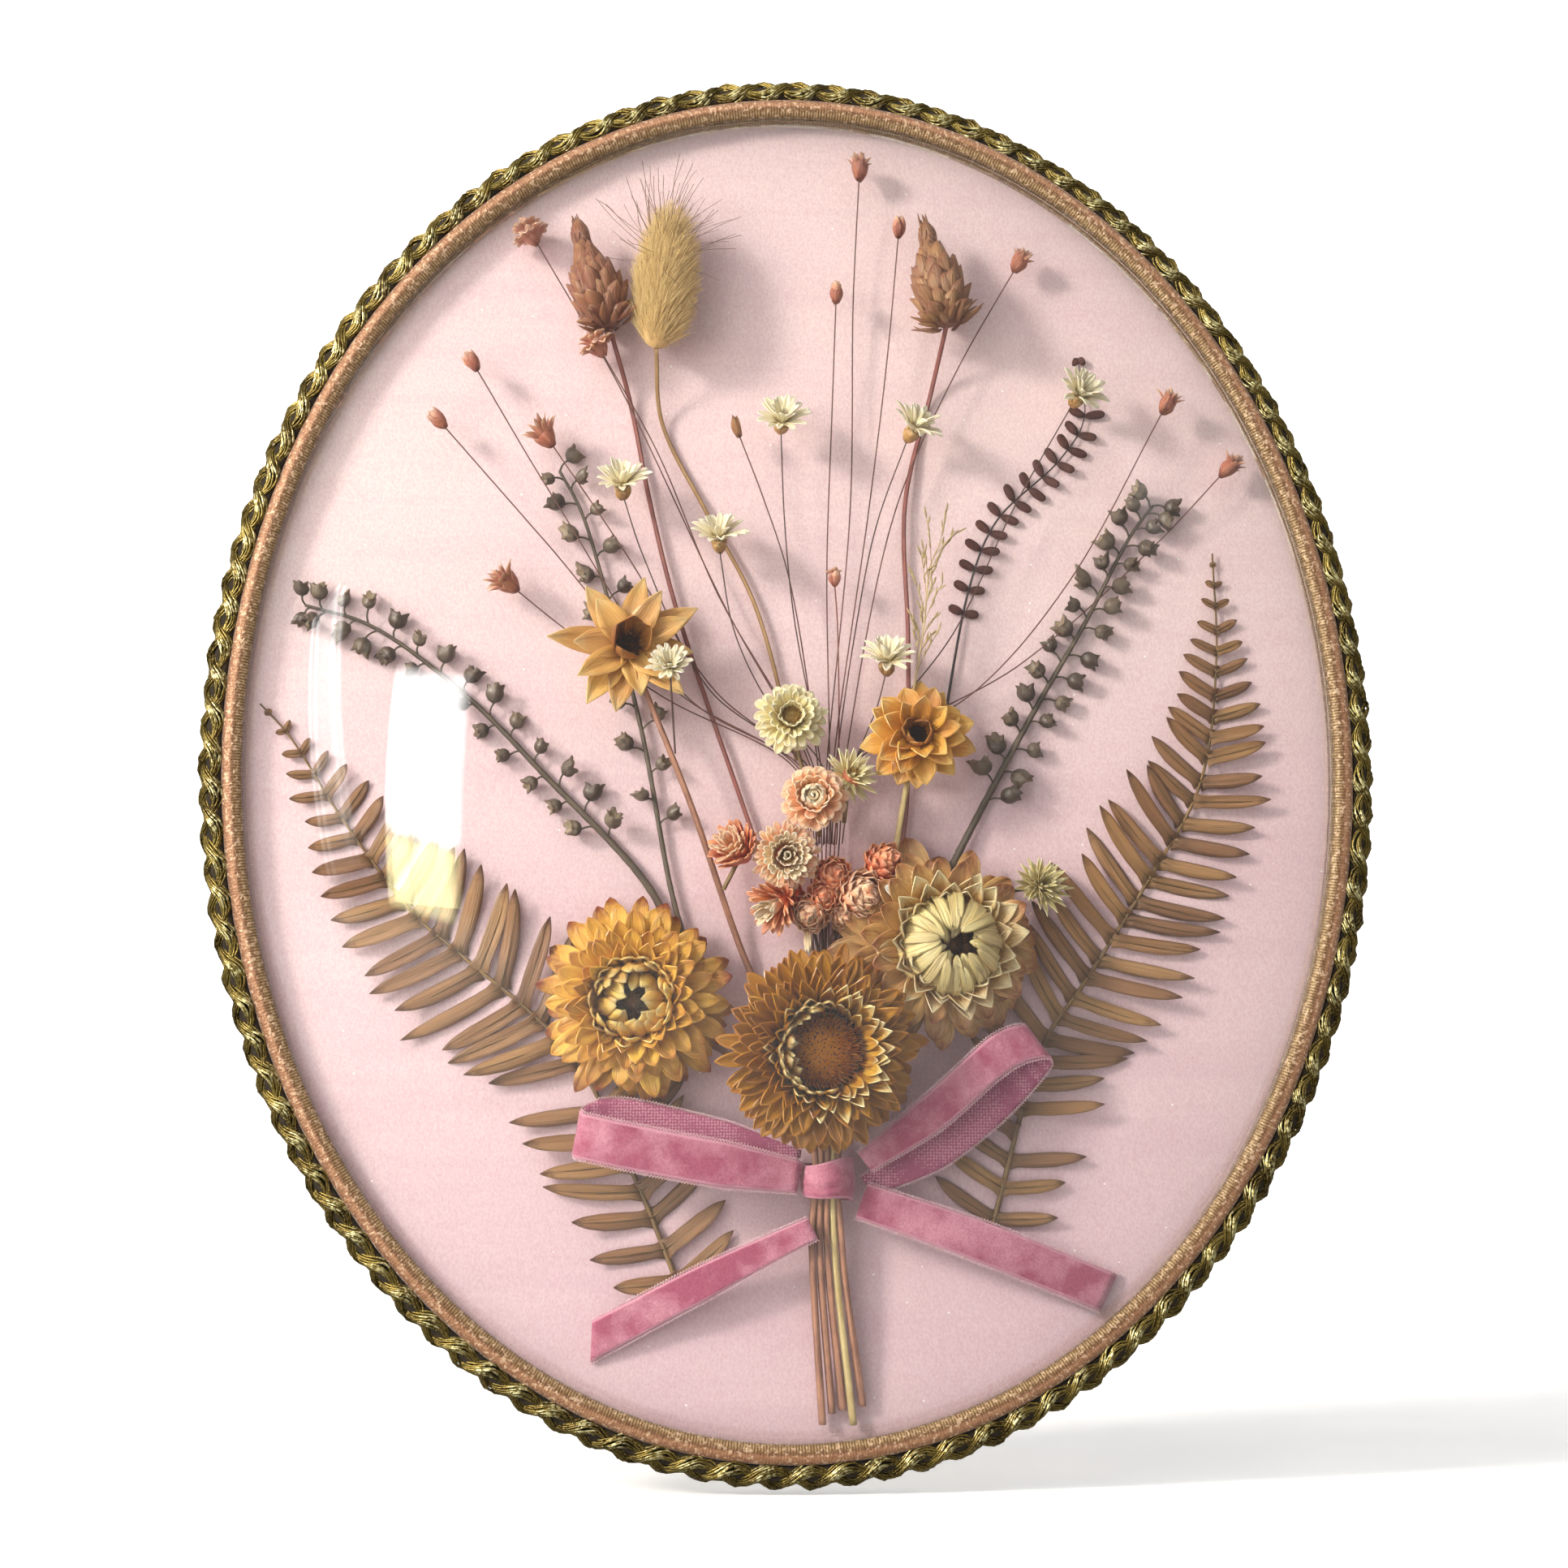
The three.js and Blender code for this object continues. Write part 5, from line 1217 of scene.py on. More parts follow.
class FLOWERFRAME_OT_satin(PieceOperator, bpy.types.Operator):
    """The satin ground, stretched over its card"""

    bl_idname = "flowerframe.satin"
    bl_label = "Satin ground"

    def make(self):
        low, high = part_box("satin_ground")
        half = np.array(((high.x - low.x) / 2, (high.z - low.z) / 2)) / MM
        rings, spokes, ripple = 46, 120, sizes().satin_ripple / MM
        turn = np.arange(spokes) * 2 * np.pi / spokes
        reach = np.linspace(0.01, 1, rings)[:, None]
        x = half[0] * reach * np.cos(turn)
        z = half[1] * reach * np.sin(turn)
        fade = np.clip((1 - reach) * 9, 0, 1)
        wave = np.sin(z * 0.21 + 1.3 * np.sin(x * 0.037)) + 0.5 * np.sin(z * 0.53 + x * 0.06)
        front = -(SATIN_FRONT - 0.05) - ripple * 0.5 * wave * fade
        thickness = 0.45
        faces = [np.stack([x, front, z], -1), np.stack([x, front + thickness, z], -1)]
        heap = Heap()
        loops(heap, np.concatenate([faces[0], faces[1][::-1]]))
        satin = finished("satin_cloth", heap, [satin_cloth()], ["satin_ground"])


class FLOWERFRAME_OT_glass(PieceOperator, bpy.types.Operator):
    """The convex glass: one shell, finely rounded, on a flat flange"""

    bl_idname = "flowerframe.glass"
    bl_label = "Convex glass"

    rise, rounding, fullness = 28.0, 2.2, 0.6

    def make(self):
        turn = np.arange(160) * 2 * np.pi / 160
        shares = np.append(np.cos(np.linspace(0, np.pi / 2, 40))[:-1], 0.01)

        def ring(half, front):
            return np.stack([half[0] * np.cos(turn), np.full(160, -front), half[1] * np.sin(turn)], -1)

        def skin(grow, foot):
            return [ring(((DOME[0] + grow) * s, (DOME[1] + grow) * s),
                         foot + self.rise * (1 - s**self.rounding) ** self.fullness) for s in shares]

        inner, outer = skin(0.0, GLASS_BACK), skin(GLASS_WALL / 2, GLASS_FOOT)
        rim = [ring(BOARD, GLASS_BACK), ring(BOARD, GLASS_FOOT)]
        heap = Heap()
        loops(heap, inner[::-1] + rim + outer)
        glass = finished("convex_glass", heap, [dome_glass()], ["dome_glass"])
        # the studio lamps light what is under the glass, and it mirrors only the windows
        apart = bpy.data.collections.new("not_mirrored")
        apart.objects.link(glass)
        apart.collection_objects[0].light_linking.link_state = "EXCLUDE"
        for lamp in STUDIO_LAMPS:
            bpy.data.objects[lamp[0]].light_linking.receiver_collection = apart


class FLOWERFRAME_OT_braid(PieceOperator, bpy.types.Operator):
    """The plaited braid round the rim, on a near-black core: painted shade between its strands"""

    bl_idname = "flowerframe.braid"
    bl_label = "Gold braid"

    roll_centre = 0.15  # offset of the roll's centre from the boards' edge, mm
    roll_height = 7.4  # height of the roll's centre, mm
    core_radius = 2.3

    def make(self):
        thread = gilt_thread()
        line, out = oval(self.roll_centre, self.roll_height, 900)
        host = line_mesh("rim_line", [line], closed=True, out=[out])
        braid = grown("plaited_braid", plait_tree(thread), host, {
            "Turns": sizes().plait_turns, "Thread radius": sizes().plait_thread,
            "Thread pitch": sizes().plait_pitch,
        }, thread)
        dressed(braid, ["gold_braid"])
        # painted shade: a near-black sheet rolled behind the strands stands for the shade between them
        line, out = oval(self.roll_centre, self.roll_height, 240)
        roll = np.radians(np.linspace(-70, 112, 9))[None, :, None]
        core = line[:, None] + self.core_radius * (np.cos(roll) * out[:, None] + np.sin(roll) * VIEWER)
        heap = Heap()
        sheet(heap, core, 0.3, closed=True)
        cloth = grained("braid_core_cotton", "#2E2416", "#1C150C", "#40331F", 1500, 0.95, 0.0001)
        finished("braid_core", heap, [cloth])


class FLOWERFRAME_OT_band(PieceOperator, bpy.types.Operator):
    """The wound gold ribbon on the glass's edge"""

    bl_idname = "flowerframe.band"
    bl_label = "Gold ribbon"

    def make(self):
        silk = gold_silk()
        width, height = sizes().band_width, sizes().band_height
        line, out = oval(-0.7 - width / MM / 2, 0.0, 900)
        flat = np.stack([line[:, 0], line[:, 2], np.zeros(len(line))], -1)
        host = line_mesh("ribbon_line", [flat], closed=True)
        length = np.linalg.norm(np.diff(line, axis=0, append=line[:1]), axis=1).sum() * MM
        band = grown("wound_gold_ribbon", band_tree(silk), host, {
            "Ribs": int(length / sizes().rib_pitch), "Width": width, "Height": 2 * height,
        }, silk)
        # the tree works in the flat: stand its result up, cut to its front half
        points = np.empty(len(band.data.vertices) * 3, np.float32)
        band.data.vertices.foreach_get("co", points)
        flat = points.reshape(-1, 3)
        low = (GLASS_FOOT + 1.0) * MM
        stood = np.stack([flat[:, 0], -(low + np.maximum(flat[:, 2], -0.0002)), flat[:, 1]], -1)
        band.data.vertices.foreach_set("co", stood.astype(np.float32).ravel())
        band.data.update()
        dressed(band, ["gold_ribbon"])


class FLOWERFRAME_OT_wires(PieceOperator, bpy.types.Operator):
    """Small buds on wires"""

    bl_idname = "flowerframe.wire_buds"
    bl_label = "Wire buds"

    # rows of bracts for each form of bud, in bud radii
    forms = {
        "closed": ((7, 0.22, 0.0, 2.6, 1.2, 40, 128, "shield", 0.55, 1),
                   (7, 0.2, 0.25, 2.6, 1.1, 48, 118, "shield", 0.55, 0),
                   (5, 0.2, 1.2, 1.5, 0.7, 70, 100, "shield", 0.5, 0)),
        "tight": ((4, 0.22, 0.0, 4.2, 1.9, 66, 112, "shield", 0.55, 1),),
        "small": ((5, 0.22, 0.0, 2.4, 1.6, 46, 112, "oval", 0.5, 0),
                  (6, 0.3, 1.3, 1.5, 0.9, 60, 40, "oval", 0.5, 0)),
        "opening": ((7, 0.22, 0.0, 2.3, 1.2, 44, 112, "shield", 0.55, 1),
                    (9, 0.3, 1.0, 1.8, 0.75, 70, 78, "shield", 0.5, 0),
                    (7, 0.3, 1.1, 1.7, 0.6, 58, 36, "blade", 0.5, 0)),
        "star": ((8, 0.22, 0.0, 2.0, 1.1, 44, 96, "shield", 0.5, 1),
                 (11, 0.55, 1.0, 1.9, 0.6, 58, 30, "blade", 0.5, 0),
                 (9, 0.4, 1.2, 1.8, 0.55, 78, 62, "blade", 0.5, 0)),
        "ruffled": ((9, 0.22, 0.0, 1.9, 1.0, 46, 84, "oval", 0.5, 0),
                    (14, 0.6, 0.8, 1.3, 0.75, 30, -10, "strap", 0.5, 0),
                    (13, 0.5, 1.2, 1.3, 0.75, 60, 26, "strap", 0.5, 0),
                    (9, 0.3, 1.5, 1.1, 0.7, 84, 96, "strap", 0.5, 0)),
    }
    length = 2.15  # of a bud, in bud radii

    def make(self):
        rng = np.random.default_rng(21)
        pink = papery("everlasting_bud_dried", "#AE5F4C", "#D28670", "#F2C6AC", 0.38, 14, 0.4, tip_from=0.6)
        husk = papery("bud_husk_papery", "#94503E", "#BC7158", "#DFA088", 0.36, 14, 0.5)
        brown = papery("bud_husk_brown", "#7A4A30", "#B07A52", "#7E5238", 0.45, 12, 0.4)
        wire = stalky("florist_wire_wrapped", "#86564C", "#5A362C", 0.5)
        red = stalky("red_stalk_dried", "#9C5648", "#6E3630", 0.55)
        for number, (layer, column, form, height, places) in enumerate(WIRE_BUDS, 1):
            heap = Heap()
            run = wire_route(layer, column, places, height)
            axis = unit(run[0] - run[1])
            r = sizes().wire_bud / MM * {"small": 0.62, "tight": 0.5, "closed": 0.74,
                                         "opening": 0.88}.get(form, 1.0)
            lengthways = self.length * r * (1.6 if form == "tight" else 1.0)
            place = frame_at(run[0] - axis * lengthways * 0.42, axis, VIEWER)
            urn = ((0.1, 0), (0.32, 0.1), (0.72, 0.35), (0.86, 0.6), (0.7, 0.82), (0.3, 0.93))
            turned(heap, place, [(r * k, lengthways * h) for k, h in urn], 10, 0.4, 1)
            flower(heap, place, self.forms[form], r, rng, thick=0.12, wild=1.3)
            tube(heap, smooth_line(run, 60), 0.13, 5, 0.5, 2)
            outside = brown if form == "tight" else husk
            finished(f"wire_bud_{number}_dried", heap, [brown if form == "tight" else pink, outside,
                                                        red if form == "small" else wire],
                     [f"wire_bud_{number}"])


class FLOWERFRAME_OT_daisies(PieceOperator, bpy.types.Operator):
    """Star daisies"""

    bl_idname = "flowerframe.star_daisies"
    bl_label = "Star daisies"

    def make(self):
        rng = np.random.default_rng(34)
        cream = papery("star_daisy_petal_dried", "#E8CC88", "#FAEFCC", "#FDF6E0", 0.4, 10, 0.15, (0.95, 1.12))
        husk = papery("daisy_calyx_papery", "#9C6A38", "#C8975A", "#E6C88E", 0.42, 12, 0.4)
        eye = papery("daisy_eye_florets", "#C9A04A", "#EEDC9A", "#F8EFC8", 0.7, 10, 0.3)
        wire = stalky("daisy_stalk_dried", "#6E4A44", "#402823", 0.5)
        for number, (layer, column, look, places) in enumerate(STAR_DAISIES, 1):
            run = wire_route(layer, column, places, 7.0)
            heap = Heap()
            place = facing(run[0], look)
            self.head(heap, place, sizes().star_daisy / MM / DAISY_DRAWN, rng)
            tube(heap, smooth_line([run[0] - place[:3, 2] * 2.0] + run[1:], 60), 0.13, 5, 0.5, 3)
            finished(f"star_daisy_{number}_dried", heap, [cream, husk, eye, wire],
                     [f"star_daisy_{number}"])
        heap = Heap()
        run = [at((-0.309, 0.159), 6.61) + np.array((a, -h, u)) * 12.42
               for a, u, h in ((0.58, -0.36, 0.53), (0.68, -1.53, 0.08))]
        self.head(heap, facing(run[0], (-0.1, 0.5)), 0.85, rng, 1.3)
        tube(heap, smooth_line(run, 12), 0.19, 5, 0.5, 3)
        finished("daisy_mini_dried", heap, [cream, husk, eye, wire], ["daisy_mini"])

    def head(self, heap, place, scale, rng, full=1.0):
        rows = [(int(r[0] * full),) + r[1:] for r in STAR_DAISY]
        flower(heap, place, rows, scale, rng, thick=0.13, wild=1.5)
        urn = ((0.25, -2.6), (0.75, -2.2), (1.25, -1.3), (1.3, -0.5), (0.9, 0.1), (0.2, 0.2))
        turned(heap, place, [(r * scale, h * scale) for r, h in urn], 10, 0.5, 1)
        flower(heap, place, CALYX, scale, rng, thick=0.12)
        tuft(heap, place, 0.95 * scale, 0.6, 26, 0.55, rng, 2)


def strawflower_stem(heap, spec, slot, rng):
    """The stem of a strawflower, from its head to the end of the bundle below the bow."""
    head = at(spec["head"], spec["lift"] * STRAWFLOWER_HEIGHT)
    run = [head + (0, 0.6, 0)]
    if spec["over"]:
        run.append(at(spec["over"], 6.3))
    run += [at(p, 1.45) for p in spec["way"]]
    run += [at((0.058, up), 4.6) + (spec["place"] * 1.3, 0, 0) for up in (-0.57, -0.72)]
    run.append(at(spec["end"], 1.45))
    line = smooth_line(run, 90)
    tube(heap, line, np.linspace(0.52, 0.66, len(line)), 8, rng.uniform(), slot, ridges=0.1)
    return head


class FLOWERFRAME_OT_strawflowers(PieceOperator, bpy.types.Operator):
    """The five strawflowers and their stems down through the bow"""

    bl_idname = "flowerframe.strawflowers"
    bl_label = "Strawflowers"

    def make(self):
        stem = stalky("strawflower_stem_dried", "#B98468", "#7E5242", 0.6)
        straw = stalky("straw_stem_dried", "#D8C490", "#A98F58", 0.55)
        gold, ochre, cream = colours("gold"), colours("ochre"), colours("cream")
        amber = papery("strawflower_petal_amber", "#AE6818", gold, "#D9933C", 0.3, 22, 0.5, tip_from=0.8)
        tipped = papery("strawflower_petal_red_tipped", "#9C5A14", "#E6A940", "#8E3A1C", 0.32, 22,
                        0.5, tip_from=0.78)
        light = papery("strawflower_petal_folded", "#A8691C", "#EDBB5E", "#F6DC98", 0.28, 20, 0.5)
        deep = papery("strawflower_petal_ochre", "#5E3408", ochre, "#B9781E", 0.3, 20, 0.55, tip_from=0.86)
        inner = papery("strawflower_petal_straw", "#7A480E", "#CE9434", "#F8E4AC", 0.32, 18, 0.45,
                       tip_from=0.7)
        dome = papery("strawflower_petal_cream", "#C9AC66", cream, "#E8D49A", 0.36, 8, 0.5, margin="#B0935A")
        tips = papery("strawflower_petal_buff", "#8E6430", "#CFA468", "#F8E8BC", 0.36, 20, 0.5, tip_from=0.66)
        outer = papery("strawflower_petal_browned", "#7E5228", "#D8AA70", "#A8683E", 0.36, 18, 0.55,
                       tip_from=0.78)
        waxy = papery("strawflower_petal_waxy", "#B4702A", "#E2AC62", "#F0CB8C", 0.26, 24, 0.25)
        tawny = papery("strawflower_heart_tawny", "#6E3A18", "#B0743E", "#BE824A", 0.36, 22, 0.4)
        honey = papery("strawflower_petal_honey", "#A05C18", "#DE9840", "#F0BE72", 0.26, 22, 0.25)
        brown = papery("strawflower_eye_dark", "#2A1A10", "#4A2E18", "#7A5226", 0.7, 10, 0.3)
        fuzz = papery("strawflower_disc_florets", "#7A3600", "#C06400", "#F6A414", 0.7, 8, 0.3)
        ivory = papery("strawflower_petal_white", "#D9CDB4", "#F0EADC", "#F6F2E8", 0.3, 8, 0.15)
        # rows, finishes, seed, how far the petals on one side close over the eye
        heads = {
            "gold": (GOLD_HEAD, [amber, light, brown, stem, tipped], 5, (0, 0)),
            "ochre": (OCHRE_HEAD, [deep, inner, brown, stem, fuzz], 8, (14, 2.9)),
            "cream": (CREAM_HEAD, [dome, tips, outer, stem, brown, ivory], 13, (5, 2.6)),
            "open_left": (OPEN_LEFT_HEAD, [waxy, tawny, brown, stem], 3, (0, 0)),
            "open_right": (OPEN_RIGHT_HEAD, [honey, tawny, brown, straw], 4, (0, 0)),
        }
        # each disc: height, radius, rise, florets, length, finish
        discs = {
            "gold": ((6.4, 2.3, 0.4, 40, 1.0, 2),),
            "ochre": ((4.4, 8.0, 1.7, 520, 2.0, 4), (4.5, 8.3, 1.0, 180, 1.7, 2)),
            "cream": ((7.4, 3.0, 0.4, 40, 1.0, 4),),
            "open_left": ((1.6, 2.4, 0.8, 40, 1.4, 2),),
            "open_right": ((1.4, 1.7, 0.6, 50, 1.2, 2),),
        }
        for kind, (rows, finishes, seed, shut) in heads.items():
            rng = np.random.default_rng(seed)
            spec = STRAWFLOWERS[kind]
            heap = Heap()
            head = strawflower_stem(heap, spec, 3, rng)
            place = facing(head, spec["look"])
            scale = spec["size"] * sizes().strawflower / MM / STRAWFLOWER_DRAWN
            flower(heap, place, rows, scale, rng, wild=1.6, shut=shut)
            turned(heap, place, [(1.0, -1.2), (4.5 * scale, -1.0), (6.0 * scale, 0.0),
                                 (5.0 * scale, 1.8 * scale), (1.0, 2.0 * scale)], 14, 0.3, 2)
            for height, radius, rise, florets, length, slot in discs[kind]:
                tuft(heap, place @ spoke(0, 0, height * scale), radius * scale, rise, florets, length, rng,
                     slot, 0.11)
            if kind == "open_left":
                # a hood of inner petals stands over the eye
                for turn, length, low, high in ((0.5, 12.0, 62, 100), (1.6, 13.0, 58, 112),
                                                (2.8, 12.0, 62, 108), (4.2, 9.0, 66, 104)):
                    petal(heap, place @ spoke(turn, 2.2, 0.6), length * scale * 1.1, 8.6 * scale, (low, high),
                          "blade", 0.5, 0.04, tone=rng.uniform(), slot=1)
            if kind == "cream":
                # browned bracts that stand out at the upper left, and one white petal
                for turn in (1.9, 2.15, 2.4, 2.65, 2.95, 3.2):
                    petal(heap, place @ spoke(turn, 5.0, -1.0), rng.uniform(14, 17), 6.4, (6, -14), "spoon",
                          0.45, rng.normal(0, 0.08), tone=rng.uniform(0, 0.4), slot=2)
                petal(heap, place @ spoke(2.2, 8.0, 3.2) @ spoke(2.0), 7.5, 2.4, (26, 4), "oval", 0.3, slot=5)
            finished(f"strawflower_{kind}_dried", heap, finishes,
                     [f"strawflower_{kind}"])


class FLOWERFRAME_OT_everlastings(PieceOperator, bpy.types.Operator):
    """Small everlastings, the round pink heads and the straw-coloured tuft"""

    bl_idname = "flowerframe.everlastings"
    bl_label = "Everlastings"

    # the cluster's round heads: place, height, radius, petals, finish
    heads = (
        ((0.025, -0.235), 8.4, 3.5, 44, 1), ((0.065, -0.181), 8.2, 3.5, 44, 0),
        ((0.113, -0.209), 8.6, 4.4, 62, 1), ((0.156, -0.159), 7.8, 3.5, 44, 0),
        ((-0.01, -0.212), 7.6, 2.6, 26, 3), ((0.048, -0.212), 9.2, 2.9, 36, 0),
        ((0.085, -0.236), 7.4, 2.6, 36, 1),
    )

    def make(self):
        rng = np.random.default_rng(55)
        cream = papery("everlasting_petal_cream", "#E0BC6C", "#FAEAB0", "#FEF6D2", 0.38, 14, 0.2,
                       (0.92, 1.15))
        peach = papery("everlasting_petal_peach", "#E67C50", "#F9B488", "#FFDCBC", 0.4, 14, 0.2, (0.92, 1.15))
        pale = papery("everlasting_petal_shell", "#E8AE7C", "#FADAB0", "#FEEED2", 0.4, 12, 0.2, (0.92, 1.15))
        coral = papery("everlasting_bract_coral", "#DA5836", "#F07C56", "#F8AC84", 0.42, 14, 0.2)
        golden = papery("everlasting_florets_gold", "#9A6A24", "#D9A850", "#F0D082", 0.65, 8, 0.3)
        stalk = stalky("everlasting_stalk_dried", "#A58A5C", "#6E5638", 0.6)
        forms = {
            "cream_upper": (CREAM_BUTTON, [cream, golden, coral], 2.1),
            "cream_lower": (STRAPPY, [cream, golden, coral], 1.0),
            "peach_upper": (PEACH_COIL, [peach, pale, coral], 1.3),
            "peach_lower": (PEACH_BUTTON, [peach, pale, coral], 1.0),
            "salmon": (SALMON_HEAD, [peach, peach, coral], 1.4),
        }
        for kind, (rows, finishes, eye_radius) in forms.items():
            spec = EVERLASTINGS[kind]
            heap = Heap()
            head = at(spec["head"], spec["lift"])
            place = facing(head, spec["look"])
            scale = spec["size"] * sizes().everlasting / MM / EVERLASTING_DRAWN
            flower(heap, place, rows, scale, rng, thick=0.15, wild=1.2)
            heart = [(0.4, -2.0), (1.6 * scale, -1.4), (2.4 * scale, 0), (2.0 * scale, 1.2), (0.3, 1.4)]
            turned(heap, place, heart, 12, 0.4, 2)
            tuft(heap, place @ spoke(0, 0, 1.6 * scale), eye_radius * scale, 0.8, int(40 + 34 * eye_radius),
                 0.9, rng, 3)
            if kind == "peach_upper":
                turn = np.linspace(0, 5.5 * np.pi, 60)
                coil = np.stack([np.cos(turn), np.sin(turn)], -1) * np.linspace(1.9, 0.2, 60)[:, None] * scale
                ring = np.column_stack([coil, np.linspace(2.6, 3.4, 60)])
                tube(heap, moved(place, ring), 0.3, 5, 0.6, 1)
            foot = spec["foot"]
            tube(heap, smooth_line([head + (0, 1, 0), at(foot[:2], foot[2])], 8), 0.4, 6, 0.5, 4)
            finished(f"everlasting_{kind}_dried", heap, [*finishes, golden, stalk],
                     [f"everlasting_{kind}"])
        self.cluster(rng, pale)
        self.tuft(rng)

    def cluster(self, rng, pale):
        deep = papery("clover_head_coral", "#EC744C", "#FA8A60", "#FFB690", 0.4, 12, 0.3,
                      (0.74, 1.22), tip_from=0.5)
        soft = papery("clover_head_salmon", "#F0946A", "#FBB088", "#FFD8B8", 0.4, 12, 0.3,
                      (0.76, 1.2), tip_from=0.5)
        red = papery("clover_bud_red", "#B03C26", "#DC583A", "#EE8660", 0.42, 12, 0.3)
        stem = stalky("clover_stalk_dried", "#96705A", "#5E4236", 0.6)
        heap = Heap()
        for share, height, radius, petals, shade in self.heads:
            centre = at(share, height - 1.5)
            out = centre - at((0.055, -0.188), 4.9)
            place = frame_at(centre, unit((out[0] * 0.06, -1, out[2] * 0.06 + 0.1)))
            globe(heap, place, radius, petals, rng, shade)
            bend = (centre + at((0.05, -0.3), 3.0)) / 2 + (0, 1.5, 0)
            tube(heap, smooth_line([centre, bend, at((0.055, -0.34), 3.4)], 8), 0.3, 5, 0.5, 4)
        flower(heap, frame_at(at((-0.024, -0.216), 7.2), (-0.75, -0.8, -0.55)), BRUSH_HEAD, 1.12, rng,
               thick=0.14, wild=1.5)
        petal_bud = frame_at(at((0.02, -0.262), 6.8), (0.02, -0.3, -1.0))
        for i in range(4):
            petal(heap, petal_bud @ spoke(i * 1.57, 0.5, 0), 4.4, 1.5, (80, 102), "blade", 0.5, 0, (6, 2),
                  0.14, 0.8, 2)
        finished("everlasting_pink_cluster_dried", heap, [deep, soft, pale, red, stem],
                 ["everlasting_pink_cluster"])

    def tuft(self, rng):
        straw = papery("tuft_petal_straw", "#B99A54", "#E0CC8C", "#F0E6BC", 0.5, 12, 0.3)
        stalk = stalky("tuft_stalk_dried", "#8A7448", "#5A4628", 0.6)
        heap = Heap()
        head = at((0.45, -0.19), 4.6)
        place = facing(head, (0.3, 0.3))
        for rows, scale in ((STRAPPY, 0.86), (STRAPPY[1:], 0.7), (STRAPPY[:2], 0.62)):
            flower(heap, place, rows, scale, rng, thick=0.13, wild=1.8)
        turned(heap, place, [(0.3, -1.6), (1.0, -1.0), (1.2, 0.2), (0.2, 0.6)], 8, 0.5, 0)
        tube(heap, smooth_line([head, at((0.36, -0.2), 1.3)], 6), 0.4, 6, 0.5, 1)
        finished("straw_tuft_dried", heap, [straw, stalk], ["straw_tuft"])


